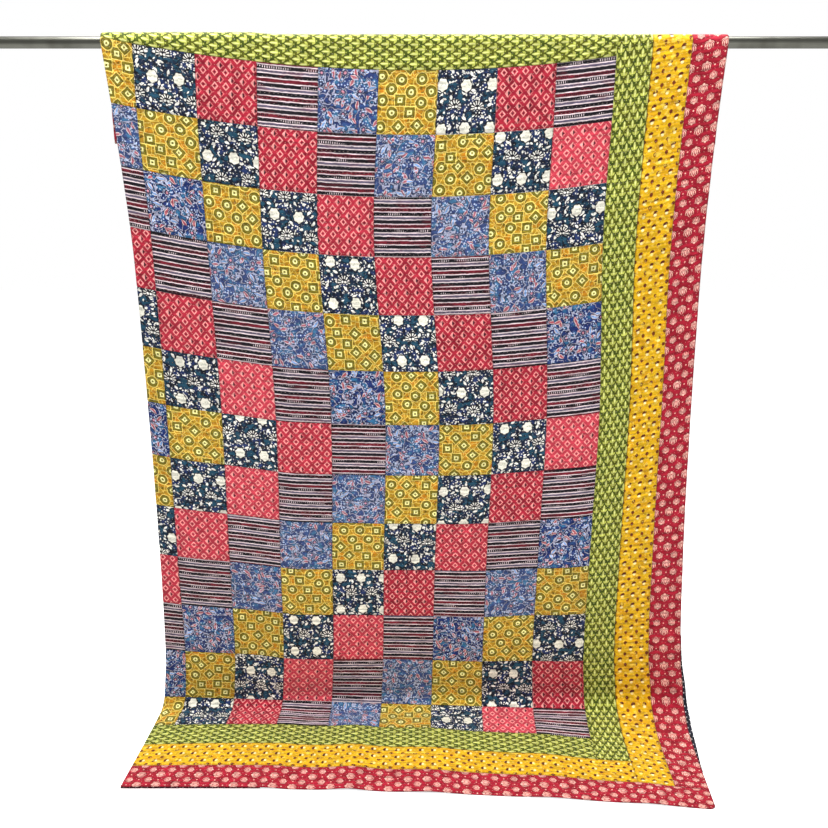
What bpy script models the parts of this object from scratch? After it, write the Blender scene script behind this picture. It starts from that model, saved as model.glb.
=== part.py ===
"""Patchwork quilt hung over a rod, its lower end laid out on the floor in front.

Every panel is cut flat, as a maker would cut it, and then draped: a point of the flat quilt is
(u, v), u metres from its left edge and v metres from its top edge, and drape() carries it over the
rod, down the front, round the bend at the floor and out to the front edge. The left side of the
quilt is folded under along its whole length, so it hangs as a second layer behind the first.
"""

import math

import bmesh
import bpy
import numpy as np
from mathutils import Matrix, Vector

# The quilt as it is cut and sewn, in metres
PATCH = 0.1635
COLUMNS = 9
FULL_ROWS = 12
LAST_ROW = 0.118
GREEN = 0.0985
YELLOW = 0.1075
RED = 0.0985
THICKNESS = 0.003
SEAM_GAP = 0.0003

BORDER = GREEN + YELLOW + RED
WIDTH = COLUMNS * PATCH + 2 * BORDER
LENGTH = FULL_ROWS * PATCH + LAST_ROW + 2 * BORDER
YELLOW_START = RED
GREEN_START = RED + YELLOW
CORNER_RADIUS = 0.022

# The rod, and how the cloth lies on it and on the floor
ROD_DIAMETER = 0.030
ROD_LENGTH = 2.36
ROD_HEIGHT = 2.000
ROD_SIDES = 32
ROD_EDGE = 0.0015
CLEARANCE = 0.002
LAYER_STEP = 0.005
FLOOR_BEND = 0.048
HUNG_WIDTH_RATIO = 0.978
OVER_ROD = ROD_DIAMETER / 2 + CLEARANCE + THICKNESS / 2

# Where the row seams hang: metres of cloth below the rod's centre, along the first, fifth and
# ninth column seams. The middle of the quilt hangs lower than its sides near the rod.
ROW_LINES = (
    # rows above the seam, first, fifth, ninth
    (0, 0.006, 0.070, 0.036),
    (3, 0.488, 0.560, 0.521),
    (6, 0.988, 1.052, 1.010),
    (9, 1.471, 1.521, 1.501),
    (11, 1.798, 1.833, 1.833),
    (12, 1.966, 1.987, 2.006),
    (13, 2.090, 2.095, 2.151),
    ("edge", 2.368, 2.380, 2.422),
)
# Left of this column the cloth lies in the fold, and its rows run level
LEVEL_COLUMN = 0.5

# Where the column seams hang: metres across, left to right, at a length of cloth below the rod
COLUMN_LINES = (
    # below the rod, left fold, first, fifth, ninth, right edge
    (0.000, -0.826, -0.742, -0.090, 0.536, 0.830),
    (0.180, -0.810, -0.744, -0.099, 0.534, 0.820),
    (0.500, -0.789, -0.733, -0.112, 0.528, 0.811),
    (1.000, -0.784, -0.729, -0.085, 0.546, 0.819),
    (1.500, -0.787, -0.730, -0.094, 0.542, 0.836),
    (1.830, -0.796, -0.731, -0.099, 0.542, 0.856),
    (1.985, -0.811, -0.742, -0.106, 0.552, 0.873),
    (2.120, -0.814, -0.751, -0.110, 0.542, 0.850),
    (2.430, -0.827, -0.760, -0.110, 0.538, 0.821),
)

# Soft vertical waves of the hanging cloth: depth, width from crest to crest, place of a crest
HANG_WAVES = (
    (0.0050, 0.74, -0.36),
    (0.0035, 0.43, 0.12),
    (0.0020, 0.29, 0.50),
)
WAVES_START = 0.05
WAVES_FULL = 1.30
WAVES_END = 4 * FLOOR_BEND

# Low humps of the cloth on the floor: height, place across, half width
FLOOR_HUMPS = (
    (0.0070, -0.185, 0.055),
    (0.0050, 0.050, 0.070),
    (0.0045, 0.390, 0.080),
    (0.0040, 0.650, 0.060),
)
HUMPS_RUN = 0.100

# The main layer comes down to the rod's own level beyond the folded part's edge
STEP_START = 0.010
STEP_RUN = 0.080

# The backing turned out at the lower right edge: rows above its top, widest place and bottom
HEM_ROWS = (10.6, 12.4, 13.9)
HEM_END = 0.0015
HEM_WIDTH = 0.0125

# Sizes of the faces along the cloth, and numbers of faces across
FACE_BEHIND = 0.090
FACE_ON_ROD = 0.0065
FACE_HUNG = 0.090
FACE_IN_BEND = 0.0126
FACE_ON_FLOOR = 0.044
UNDER_FACES = 3
FOLD_FACES = 6
CORNER_CUTS = 4
# Columns of patches where the field is split: a quarter patch apart where the layers lie double
# and over the rod's right half, half a patch apart between
COLUMNS_BEFORE_FOLD = (0.0, 0.25)
COLUMN_AFTER_FOLD = 0.8
QUARTER_COLUMNS = (*(1.0 + k / 4 for k in range(12)), *(7.5 + k / 4 for k in range(6)))
HALF_COLUMNS = tuple(4.0 + k / 2 for k in range(7))

CUT_SNAP = 0.0002
SLOPE_STEP = 0.0002
PLACING_STEPS = 12

COLORS = {
    "green": (0.20, 0.23, 0.03),
    "yellow": (0.74, 0.50, 0.02),
    "red": (0.42, 0.02, 0.05),
    "field": (0.35, 0.12, 0.12),
    "backing": (0.02, 0.03, 0.06),
}
ROD_COLOR = (0.55, 0.55, 0.52)
CLOTH_ROUGHNESS = 0.9
ROD_ROUGHNESS = 0.3
SHARP_ANGLE = math.radians(40)
ROD_EDGE_ANGLE = math.radians(60)
ROD_EDGE_CUTS = 2


def clear_scene():
    for obj in list(bpy.data.objects):
        bpy.data.objects.remove(obj, do_unlink=True)


def plain_material(name, color, roughness, metallic):
    material = bpy.data.materials.new(name)
    material.use_nodes = True
    shader = material.node_tree.nodes["Principled BSDF"]
    shader.inputs["Base Color"].default_value = (*color, 1.0)
    shader.inputs["Roughness"].default_value = roughness
    shader.inputs["Metallic"].default_value = metallic
    return material


def smooth_step(value):
    """Rise from 0 to 1, level at both ends."""
    t = np.clip(value, 0.0, 1.0)
    return t * t * (3.0 - 2.0 * t)


def smooth_curve(x, knots, values):
    """Cubic curve through (knots, values); values may be arrays, one for each knot."""
    knots = np.asarray(knots, dtype=float)
    chords = [(values[i + 1] - values[i]) / (knots[i + 1] - knots[i]) for i in range(len(knots) - 1)]
    slopes = [chords[0]]
    slopes += [(chords[i] + chords[i + 1]) / 2 for i in range(len(chords) - 1)]
    slopes += [chords[-1]]
    result = values[0] + slopes[0] * (x - knots[0])
    for i in range(len(knots) - 1):
        span = knots[i + 1] - knots[i]
        t = (x - knots[i]) / span
        piece = ((2 * t**3 - 3 * t**2 + 1) * values[i] + (t**3 - 2 * t**2 + t) * span * slopes[i]
                 + (3 * t**2 - 2 * t**3) * values[i + 1] + (t**3 - t**2) * span * slopes[i + 1])
        result = np.where(x >= knots[i], piece, result)
    beyond = values[-1] + slopes[-1] * (x - knots[-1])
    return np.where(x > knots[-1], beyond, result)


def row_seam(rows):
    """Flat place of a row seam; the quilt's bottom edge is the seam called edge."""
    if rows == "edge":
        return LENGTH
    if rows > FULL_ROWS:
        return BORDER + FULL_ROWS * PATCH + (rows - FULL_ROWS) * LAST_ROW
    return BORDER + rows * PATCH


def column_seam(column):
    return BORDER + column * PATCH


def cloth_below_rod(u, v):
    """Length of cloth from the rod's centre level down to a flat point; above it is negative."""
    half_span = column_seam(9) - column_seam(5)
    across = (np.maximum(u, column_seam(LEVEL_COLUMN)) - column_seam(5)) / half_span
    heights = []
    for _, first, fifth, ninth in ROW_LINES:
        tilt = (ninth - first) / 2
        bow = (ninth + first) / 2 - fifth
        heights.append(fifth + tilt * across + bow * across**2)
    seams = [row_seam(rows) for rows, *_ in ROW_LINES]
    hung = smooth_curve(v, seams, heights)
    above = heights[0] - (seams[0] - v)
    return np.where(v < seams[0], above, hung)


def column_lines(s):
    """Places of the left fold, the first, fifth and ninth seam, and the right edge."""
    knots = [row[0] for row in COLUMN_LINES]
    s = np.clip(s, knots[0], knots[-1])
    return [smooth_curve(s, knots, [row[i] for row in COLUMN_LINES]) for i in range(1, 6)]


def left_turn(s):
    """The left fold: centre of the turn across, and the flat place that lies at its tip."""
    radius = LAYER_STEP / 2
    fold, first, *_ = column_lines(s)
    centre = fold + THICKNESS / 2 + radius
    tip = column_seam(1) - math.pi * radius / 2 - (first - centre) / HUNG_WIDTH_RATIO
    return centre, tip


def across_and_lift(u, s):
    """Place across, and height of the layer over the one that lies on the rod."""
    radius = LAYER_STEP / 2
    half_turn = math.pi * radius / 2
    centre, tip = left_turn(s)
    _, first, fifth, ninth, edge = column_lines(s)
    seams = [column_seam(1), column_seam(5), column_seam(9), WIDTH]
    main = smooth_curve(u, seams, [first, fifth, ninth, edge])
    first_column = centre + (u - tip - half_turn) * HUNG_WIDTH_RATIO
    main = np.where(u < seams[0], first_column, main)
    under = centre + (tip - half_turn - u) * HUNG_WIDTH_RATIO
    angle = np.clip((u - tip) / radius, -math.pi / 2, math.pi / 2)
    turn = centre - radius * np.cos(angle)
    across = np.where(u > tip + half_turn, main, np.where(u < tip - half_turn, under, turn))
    under_edge = centre + (tip - half_turn) * HUNG_WIDTH_RATIO
    settle = smooth_step((across - under_edge - STEP_START) / STEP_RUN)
    main_lift = LAYER_STEP * (1.0 - settle)
    lift = np.where(u > tip + half_turn, main_lift, radius + radius * np.sin(angle))
    return across, lift


def waves(x, s):
    """Soft waves of the cloth, away from the rod and up from the floor."""
    hang = sum(depth * np.cos(2 * math.pi * (x - crest) / width)
               for depth, width, crest in HANG_WAVES)
    hang_share = smooth_step((s - WAVES_START) / (WAVES_FULL - WAVES_START))
    to_floor = smooth_step((s - (ROD_HEIGHT - WAVES_END)) / WAVES_END)
    humps = sum(height * np.exp(-((x - place) / half) ** 2) for height, place, half in FLOOR_HUMPS)
    front = smooth_step((s - ROD_HEIGHT) / HUMPS_RUN)
    return hang * hang_share * (1.0 - to_floor) + humps * front


def profile(s):
    """Side view of the innermost layer: place (y, z) and outward direction for a cloth length s."""
    over = np.clip(-s / OVER_ROD, 0.0, math.pi)
    behind = np.minimum(s + math.pi * OVER_ROD, 0.0)
    bend_start = ROD_HEIGHT - FLOOR_BEND - THICKNESS / 2
    bend_end = bend_start + FLOOR_BEND * math.pi / 2
    hung = np.clip(s, 0.0, bend_start)
    turned = np.clip((s - bend_start) / FLOOR_BEND, 0.0, math.pi / 2)
    laid = np.maximum(s - bend_end, 0.0)
    y = -OVER_ROD * np.cos(over) - FLOOR_BEND * (1.0 - np.cos(turned)) - laid
    z = ROD_HEIGHT + OVER_ROD * np.sin(over) + behind - hung - FLOOR_BEND * np.sin(turned)
    out_y = -np.cos(over) * np.cos(turned)
    out_z = np.sin(over) + np.sin(turned)
    return y, z, out_y, out_z


def middle_surface(u, v):
    s = cloth_below_rod(u, v)
    x, lift = across_and_lift(u, s)
    y, z, out_y, out_z = profile(s)
    rise = lift + waves(x, s)
    return np.stack([x, y + rise * out_y, z + rise * out_z], axis=-1)


def drape(u, v, w):
    """Carry flat points to where they hang; w is the height over the middle of the cloth."""
    along_u = middle_surface(u + SLOPE_STEP, v) - middle_surface(u - SLOPE_STEP, v)
    along_v = middle_surface(u, v + SLOPE_STEP) - middle_surface(u, v - SLOPE_STEP)
    normal = np.cross(along_v, along_u)
    normal /= np.linalg.norm(normal, axis=-1, keepdims=True)
    return middle_surface(u, v) + normal * w[..., None]


def rows_of_faces():
    """Cloth lengths below the rod at which the rows of points lie, close together where it bends."""
    bend_start = ROD_HEIGHT - FLOOR_BEND - THICKNESS / 2
    bend_end = bend_start + FLOOR_BEND * math.pi / 2
    stops = (
        # cloth length below the rod, size of the faces from here on
        (-BORDER - FACE_BEHIND / 2, FACE_BEHIND),
        (-math.pi * OVER_ROD, FACE_ON_ROD),
        (0.0, FACE_HUNG),
        (bend_start, FACE_IN_BEND),
        (bend_end, FACE_ON_FLOOR),
        (bend_end + LENGTH - ROD_HEIGHT, FACE_ON_FLOOR),
    )
    rows = []
    for (start, size), (end, _) in zip(stops, stops[1:]):
        count = math.ceil((end - start) / size)
        rows += [start + (end - start) * k / count for k in range(count)]
    return np.array(rows + [stops[-1][0]])


def lines_of_points(s):
    """Flat places across of the lines of points at a cloth length s, close together at the fold."""
    strips = [(0.0, YELLOW_START), (YELLOW_START, GREEN_START), (GREEN_START, BORDER)]
    lines = [start + (end - start) * k / UNDER_FACES for start, end in strips for k in range(UNDER_FACES)]
    lines += [column_seam(column) for column in COLUMNS_BEFORE_FOLD]
    half_turn = math.pi * LAYER_STEP / 4
    tip = float(left_turn(np.asarray(s))[1])
    lines += [tip + half_turn * (2 * k / FOLD_FACES - 1) for k in range(FOLD_FACES + 1)]
    after_fold = sorted((COLUMN_AFTER_FOLD, *QUARTER_COLUMNS, *HALF_COLUMNS))
    lines += [column_seam(column) for column in after_fold]
    ends = [(WIDTH - end, WIDTH - start) for start, end in reversed(strips)]
    lines += [start + (end - start) * k / 2 for start, end in ends for k in range(2)]
    lines += [WIDTH, WIDTH + 2 * HEM_WIDTH]
    return np.array(lines)


def sheet_points():
    """The whole quilt as flat points (u, v): one row for each cloth length below the rod."""
    s = rows_of_faces()
    u = np.array([lines_of_points(length) for length in s])
    s = np.repeat(s[:, None], u.shape[1], axis=1)
    v = BORDER + s
    for _ in range(PLACING_STEPS):
        v = v + s - cloth_below_rod(u, v)
    return u, v


def cut_panel(sheet, outline):
    """Cut one panel out of the sheet along a convex outline, and give it its thickness."""
    u, v = sheet
    rows, columns = u.shape[0] - 1, u.shape[1] - 1
    bm = bmesh.new()
    bmesh.ops.create_grid(bm, x_segments=columns, y_segments=rows, size=1.0)
    for vertex in bm.verts:
        column = round((vertex.co.x + 1.0) / 2 * columns)
        row = round((vertex.co.y + 1.0) / 2 * rows)
        vertex.co = (u[row, column], v[row, column], 0.0)
    for (u_a, v_a), (u_b, v_b) in zip(outline, outline[1:] + outline[:1]):
        outward = Vector((v_b - v_a, u_a - u_b, 0.0)).normalized()
        start = Vector((u_a, v_a, 0.0))
        bmesh.ops.bisect_plane(
            bm, geom=bm.verts[:] + bm.edges[:] + bm.faces[:], dist=CUT_SNAP,
            clear_outer=True, use_snap_center=True, plane_co=start, plane_no=outward)
        for vertex in bm.verts:
            if (vertex.co - start).dot(outward) > -CUT_SNAP / 10:
                vertex.co -= outward * SEAM_GAP / 2
    raised = bmesh.ops.extrude_face_region(bm, geom=bm.faces[:])["geom"]
    for vertex in bm.verts:
        vertex.co.z = -THICKNESS / 2
    for vertex in (item for item in raised if isinstance(item, bmesh.types.BMVert)):
        vertex.co.z = THICKNESS / 2
    return bm


def hang_panel(name, color, collection, stand, bm):
    flat = np.array([vertex.co for vertex in bm.verts], dtype=float)
    for vertex, point in zip(bm.verts, drape(flat[:, 0], flat[:, 1], flat[:, 2])):
        vertex.co = point
    # The shorter diagonal splits the two facing walls of a seam alike
    bmesh.ops.triangulate(bm, faces=bm.faces[:], quad_method="SHORT_EDGE", ngon_method="BEAUTY")
    bmesh.ops.recalc_face_normals(bm, faces=bm.faces[:])
    if bm.calc_volume(signed=True) < 0:
        bmesh.ops.reverse_faces(bm, faces=bm.faces[:])
    mesh = bpy.data.meshes.new(name)
    bm.to_mesh(mesh)
    bm.free()
    mesh.shade_smooth()
    mesh.set_sharp_from_angle(angle=SHARP_ANGLE)
    obj = bpy.data.objects.new(name, mesh)
    mesh.materials.append(plain_material(name + "_cloth", color, CLOTH_ROUGHNESS, 0.0))
    collection.objects.link(obj)
    obj.parent = stand
    return obj


def rectangle(left, right, top, bottom):
    return [(left, top), (right, top), (right, bottom), (left, bottom)]


def rounded_rectangle(left, right, top, bottom):
    """Rectangle with its right bottom corner cut round."""
    corner = []
    for k in range(CORNER_CUTS + 1):
        angle = math.pi / 2 * k / CORNER_CUTS
        corner.append((right - CORNER_RADIUS * (1 - math.cos(angle)),
                       bottom - CORNER_RADIUS * (1 - math.sin(angle))))
    return [(left, top), (right, top), *corner, (left, bottom)]


def make_field(sheet, collection, stand):
    bm = cut_panel(sheet, rectangle(BORDER, WIDTH - BORDER, BORDER, LENGTH - BORDER))
    return [hang_panel("field", COLORS["field"], collection, stand, bm)]


def make_border(color, start, width, strips_across_full, sheet, collection, stand):
    """Four strips of one colour; the strips across run the full width or lie between the others."""
    inner = start + width
    side = start if strips_across_full else inner
    upright = inner if strips_across_full else start
    cuts = {
        "top": (side, WIDTH - side, start, inner),
        "bottom": (side, WIDTH - side, LENGTH - inner, LENGTH - start),
        "left": (start, inner, upright, LENGTH - upright),
        "right": (WIDTH - inner, WIDTH - start, upright, LENGTH - upright),
    }
    strips = []
    for place, cut in cuts.items():
        outline = rounded_rectangle if start == 0 and place == "bottom" else rectangle
        bm = cut_panel(sheet, outline(*cut))
        strips.append(hang_panel(f"{color}_{place}", COLORS[color], collection, stand, bm))
    return strips


def make_backing_hem(sheet, collection, stand):
    top, widest, bottom = (row_seam(rows) for rows in HEM_ROWS)
    outer = WIDTH + HEM_WIDTH
    outline = [(WIDTH, top), (WIDTH + HEM_END, top), (outer, widest - HEM_WIDTH),
               (outer, widest + HEM_WIDTH), (WIDTH + HEM_END, bottom), (WIDTH, bottom)]
    bm = cut_panel(sheet, outline)
    return [hang_panel("backing_hem", COLORS["backing"], collection, stand, bm)]


def make_rod(collection, stand):
    bpy.ops.mesh.primitive_cylinder_add(
        vertices=ROD_SIDES, radius=ROD_DIAMETER / 2, depth=ROD_LENGTH, location=(0, 0, 0))
    rod = bpy.context.object
    rod.name = "rod"
    rod.data.name = "rod"
    rod.data.transform(Matrix.Rotation(math.pi / 2, 4, "Y"))
    rod.location = (0, 0, ROD_HEIGHT)
    edge = rod.modifiers.new("Edge", "BEVEL")
    edge.width = ROD_EDGE
    edge.segments = ROD_EDGE_CUTS
    edge.limit_method = "ANGLE"
    edge.angle_limit = ROD_EDGE_ANGLE
    rod.data.materials.append(plain_material("rod_metal", ROD_COLOR, ROD_ROUGHNESS, 1.0))
    for old in list(rod.users_collection):
        old.objects.unlink(rod)
    collection.objects.link(rod)
    rod.parent = stand
    return rod


def main():
    clear_scene()
    collection = bpy.data.collections.new("patchwork_quilt_on_rod")
    bpy.context.scene.collection.children.link(collection)
    stand = bpy.data.objects.new("stand", None)
    collection.objects.link(stand)
    make_rod(collection, stand)
    sheet = sheet_points()
    cloth = make_field(sheet, collection, stand)
    # The green and yellow strips at the sides run past the ends of the strips across; the red
    # strips across run the full width
    cloth += make_border("green", GREEN_START, GREEN, False, sheet, collection, stand)
    cloth += make_border("yellow", YELLOW_START, YELLOW, False, sheet, collection, stand)
    cloth += make_border("red", 0.0, RED, True, sheet, collection, stand)
    cloth += make_backing_hem(sheet, collection, stand)
    depths = [vertex.co.y for obj in cloth for vertex in obj.data.vertices]
    stand.location.y = -(min(depths) + max(depths)) / 2


main()
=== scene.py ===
"""The looks of a hand-stitched patchwork quilt hung over a rod, its lower end laid on the floor.

Every panel is cut flat and then draped. A point of the flat quilt is (u, v): u metres from its
left edge and v metres from its top edge. The same drape carries the cloth, its seams, its rows of
running stitch and its prints.
"""

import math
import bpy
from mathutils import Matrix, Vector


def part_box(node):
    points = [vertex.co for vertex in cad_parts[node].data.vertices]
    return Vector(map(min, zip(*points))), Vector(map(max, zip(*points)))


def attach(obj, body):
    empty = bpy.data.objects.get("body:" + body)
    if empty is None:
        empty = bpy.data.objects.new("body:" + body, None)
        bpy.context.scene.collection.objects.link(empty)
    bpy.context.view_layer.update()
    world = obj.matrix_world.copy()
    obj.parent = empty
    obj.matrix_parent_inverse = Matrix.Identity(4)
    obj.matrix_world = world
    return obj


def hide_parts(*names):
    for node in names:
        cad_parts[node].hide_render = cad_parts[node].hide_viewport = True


bl_info = {
    "name": "Patchwork Quilt on Rod",
    "version": (1, 0, 0),
    "blender": (4, 5, 0),
    "location": "View3D > Sidebar > Quilt",
    "description": "Makes the cloth, prints and stitching of a patchwork quilt around its fixed frame",
    "category": "Object",
}

import bpy
import numpy as np
from bpy.props import FloatProperty, FloatVectorProperty, PointerProperty
from mathutils import Vector

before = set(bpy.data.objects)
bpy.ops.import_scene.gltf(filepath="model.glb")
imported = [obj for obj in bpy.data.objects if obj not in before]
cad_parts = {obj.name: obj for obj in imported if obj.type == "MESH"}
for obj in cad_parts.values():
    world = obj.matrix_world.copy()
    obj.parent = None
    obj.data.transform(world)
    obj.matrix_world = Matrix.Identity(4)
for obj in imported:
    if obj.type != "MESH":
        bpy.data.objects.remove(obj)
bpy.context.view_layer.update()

# The quilt as it is cut and sewn, in metres
PATCH = 0.1635
COLUMNS = 9
FULL_ROWS = 12
LAST_ROW = 0.118
GREEN = 0.0985
YELLOW = 0.1075
RED = 0.0985
THICKNESS = 0.003
SEAM_GAP = 0.0003
BORDER = GREEN + YELLOW + RED
WIDTH = COLUMNS * PATCH + 2 * BORDER
LENGTH = FULL_ROWS * PATCH + LAST_ROW + 2 * BORDER
YELLOW_START = RED
GREEN_START = RED + YELLOW
CORNER_RADIUS = 0.022

# The rod, and how the cloth lies on it and on the floor
ROD_LOW, ROD_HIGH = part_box("rod")
ROD_RADIUS = (ROD_HIGH.z - ROD_LOW.z) / 2
ROD_Y = (ROD_HIGH.y + ROD_LOW.y) / 2
ROD_HEIGHT = (ROD_HIGH.z + ROD_LOW.z) / 2
CLEARANCE = 0.002
LAYER_STEP = 0.005
FLOOR_BEND = 0.048
HUNG_WIDTH_RATIO = 0.978
OVER_ROD = ROD_RADIUS + CLEARANCE + THICKNESS / 2

# Where the row seams hang: metres of cloth below the rod's centre
ROW_LINES = (
    # rows above the seam, first, fifth, ninth column seam
    (0, 0.006, 0.070, 0.036),
    (3, 0.488, 0.560, 0.521),
    (6, 0.988, 1.052, 1.010),
    (9, 1.471, 1.521, 1.501),
    (11, 1.798, 1.833, 1.833),
    (12, 1.966, 1.987, 2.006),
    (13, 2.090, 2.095, 2.151),
    ("edge", 2.368, 2.380, 2.422),
)
LEVEL_COLUMN = 0.5

# Where the column seams hang: metres across, left to right
COLUMN_LINES = (
    # cloth below the rod, left fold, first, fifth, ninth, right edge
    (0.000, -0.826, -0.742, -0.090, 0.536, 0.830),
    (0.180, -0.810, -0.744, -0.099, 0.534, 0.820),
    (0.500, -0.789, -0.733, -0.112, 0.528, 0.811),
    (1.000, -0.784, -0.729, -0.085, 0.546, 0.819),
    (1.500, -0.787, -0.730, -0.094, 0.542, 0.836),
    (1.830, -0.796, -0.731, -0.099, 0.542, 0.856),
    (1.985, -0.811, -0.742, -0.106, 0.552, 0.873),
    (2.120, -0.814, -0.751, -0.110, 0.542, 0.850),
    (2.430, -0.827, -0.760, -0.110, 0.538, 0.821),
)

# Soft vertical waves of the hanging cloth: depth, width from crest to crest, place of a crest
HANG_WAVES = (
    (0.0050, 0.74, -0.36),
    (0.0035, 0.43, 0.12),
    (0.0020, 0.29, 0.50),
)
WAVES_START = 0.05
WAVES_FULL = 1.30
WAVES_END = 4 * FLOOR_BEND

# Low humps of the cloth on the floor: height, place across, half width
FLOOR_HUMPS = (
    (0.0070, -0.185, 0.055),
    (0.0050, 0.050, 0.070),
    (0.0045, 0.390, 0.080),
    (0.0040, 0.650, 0.060),
)
HUMPS_RUN = 0.100
STEP_START = 0.010
STEP_RUN = 0.080

# The backing turned out at the lower right edge: rows above its top, widest place and bottom
HEM_ROWS = (10.6, 12.4, 13.9)
HEM_END = 0.0015
HEM_WIDTH = 0.0125

# Uneven swells of the quilted cloth: a sum of waves, each longer than the last and turned from it
SWELL_COUNT = 9
SWELL_SHORTEST = 0.075
SWELL_GROWTH = 1.28
SWELL_PHASE = 1.7
SWELL_MEAN = 0.54
SWELL_POWER = 0.7
SWELL_START = 0.06
SWELL_RUN = 0.25
FOLDED_COLUMNS = 0.6
FOLDED_SHARE = 0.25
GOLDEN_ANGLE = 2.39996

# The mesh: step of a slope, close lines beside a seam as shares of its reach, faces at the left fold
SLOPE_STEP = 0.0002
SEAM_LINES = (0.35, 1.1)
UNDER_FACES = 5
TURN_FACES = 10
OUTER_FACES = 6
TURN_MARGIN = 0.0006
BACK_SEAM_SHARE = 0.6
SHARP_ANGLE = math.radians(50)
BAKE_MARGIN = 0.02

# One running stitch: faces round it, how deep its ends lie, and how uneven it is
STITCH_RING = 3
STITCH_DIP = 0.0002
STITCH_WANDER = 0.0007
STITCH_SPREAD = 0.12

# How far a print may be shifted from patch to patch and from strip to strip, and the middling dye
PATCH_SHIFT = 0.5
STRIP_SHIFT = 0.2
MIDDLE_DYE = 0.5
SCATTER_WEIGHTS = (12.9898, 78.233, 37.719)
SCATTER_SCALE = 43758.5453

# The stage: the floor, the camera, and each light's size, place and target
FACE_Y = ROD_Y - OVER_ROD - THICKNESS / 2
FLOOR_REACH = 12.0
FLOOR_DROP = 0.001
FOCAL_LENGTH = 36.0
SENSOR_WIDTH = 36.0
NEAR_CLIP = 0.05
LIGHTS = {
    "key": ((2.6, 1.2), (-0.5, FACE_Y - 1.1, 4.6), (0.0, FACE_Y - 0.1, 0.6)),
    "fill": ((2.0, 2.0), (1.2, FACE_Y - 2.8, 0.9), (0.0, FACE_Y, 0.7)),
    "rim": ((3.4, 1.4), (0.0, ROD_Y + 0.35, 3.9), (0.0, ROD_Y, 2.0)),
}
WHITE = (1.0, 1.0, 1.0, 1.0)

# The prints of the patches, by row and column: mustard, navy, red, striped, blue floral
PRINT_ORDER = ("mustard", "navy", "red", "striped", "floral")


def smooth_step(value):
    """Rise from 0 to 1, level at both ends."""
    t = np.clip(value, 0.0, 1.0)
    return t * t * (3.0 - 2.0 * t)


def smooth_curves(x, knots, values):
    """Cubic curves through the knots, straight beyond them; one curve for each column of values."""
    knots = np.asarray(knots, dtype=float)
    values = np.asarray(values, dtype=float)
    chords = np.diff(values, axis=0) / np.diff(knots)[:, None]
    slopes = np.concatenate([chords[:1], (chords[:-1] + chords[1:]) / 2, chords[-1:]])
    i = np.clip(np.searchsorted(knots, x, side="right") - 1, 0, len(knots) - 2)
    span = (knots[i + 1] - knots[i])[..., None]
    place = (x - knots[i])[..., None] / span
    t = np.clip(place, 0.0, 1.0)
    square, cube = t * t, t * t * t
    inside = ((2 * cube - 3 * square + 1) * values[i] + (cube - 2 * square + t) * span * slopes[i]
              + (3 * square - 2 * cube) * values[i + 1] + (cube - square) * span * slopes[i + 1])
    end_slope = np.where(place < 0.0, slopes[i], slopes[i + 1])
    return inside + (place - t) * span * end_slope


def row_seam(rows):
    """Flat place of a row seam; the quilt's bottom edge is the seam called edge."""
    if rows == "edge":
        return LENGTH
    if rows > FULL_ROWS:
        return BORDER + FULL_ROWS * PATCH + (rows - FULL_ROWS) * LAST_ROW
    return BORDER + rows * PATCH


def column_seam(column):
    """Flat place of a column seam."""
    return BORDER + column * PATCH


def cloth_below_rod(u, v):
    """Length of cloth from the rod's centre level down to a flat point; above it is negative."""
    half_span = column_seam(9) - column_seam(5)
    across = (np.maximum(u, column_seam(LEVEL_COLUMN)) - column_seam(5)) / half_span
    seams = [row_seam(row[0]) for row in ROW_LINES]
    shapes = [(fifth, (ninth - first) / 2, (ninth + first) / 2 - fifth)
              for _, first, fifth, ninth in ROW_LINES]
    level, tilt, bow = np.moveaxis(smooth_curves(np.maximum(v, seams[0]), seams, shapes), -1, 0)
    return level + tilt * across + bow * across * across - np.maximum(seams[0] - v, 0.0)


def column_lines(s):
    """Places of the left fold, the first, fifth and ninth seam, and the right edge."""
    knots = [row[0] for row in COLUMN_LINES]
    places = smooth_curves(np.clip(s, knots[0], knots[-1]), knots, [row[1:] for row in COLUMN_LINES])
    return np.moveaxis(places, -1, 0)


def left_turn(fold, first):
    """The left fold: centre of the turn across, and the flat place that lies at its tip."""
    radius = LAYER_STEP / 2
    centre = fold + THICKNESS / 2 + radius
    tip = column_seam(1) - math.pi * radius / 2 - (first - centre) / HUNG_WIDTH_RATIO
    return centre, tip


def across_and_lift(u, s):
    """Place across, and height of the layer over the one that lies on the rod."""
    radius = LAYER_STEP / 2
    half_turn = math.pi * radius / 2
    fold, *lines = column_lines(s)
    centre, tip = left_turn(fold, lines[0])
    seams = [column_seam(1), column_seam(5), column_seam(9), WIDTH]
    shares = smooth_curves(u, seams, np.eye(len(seams)))
    main = sum(shares[..., k] * line for k, line in enumerate(lines))
    first_column = centre + (u - tip - half_turn) * HUNG_WIDTH_RATIO
    main = np.where(u < seams[0], first_column, main)
    under = centre + (tip - half_turn - u) * HUNG_WIDTH_RATIO
    angle = np.clip((u - tip) / radius, -math.pi / 2, math.pi / 2)
    turn = centre - radius * np.cos(angle)
    across = np.where(u > tip + half_turn, main, np.where(u < tip - half_turn, under, turn))
    under_edge = centre + (tip - half_turn) * HUNG_WIDTH_RATIO
    settle = smooth_step((across - under_edge - STEP_START) / STEP_RUN)
    main_lift = LAYER_STEP * (1.0 - settle)
    lift = np.where(u > tip + half_turn, main_lift, radius + radius * np.sin(angle))
    return across, lift


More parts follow.
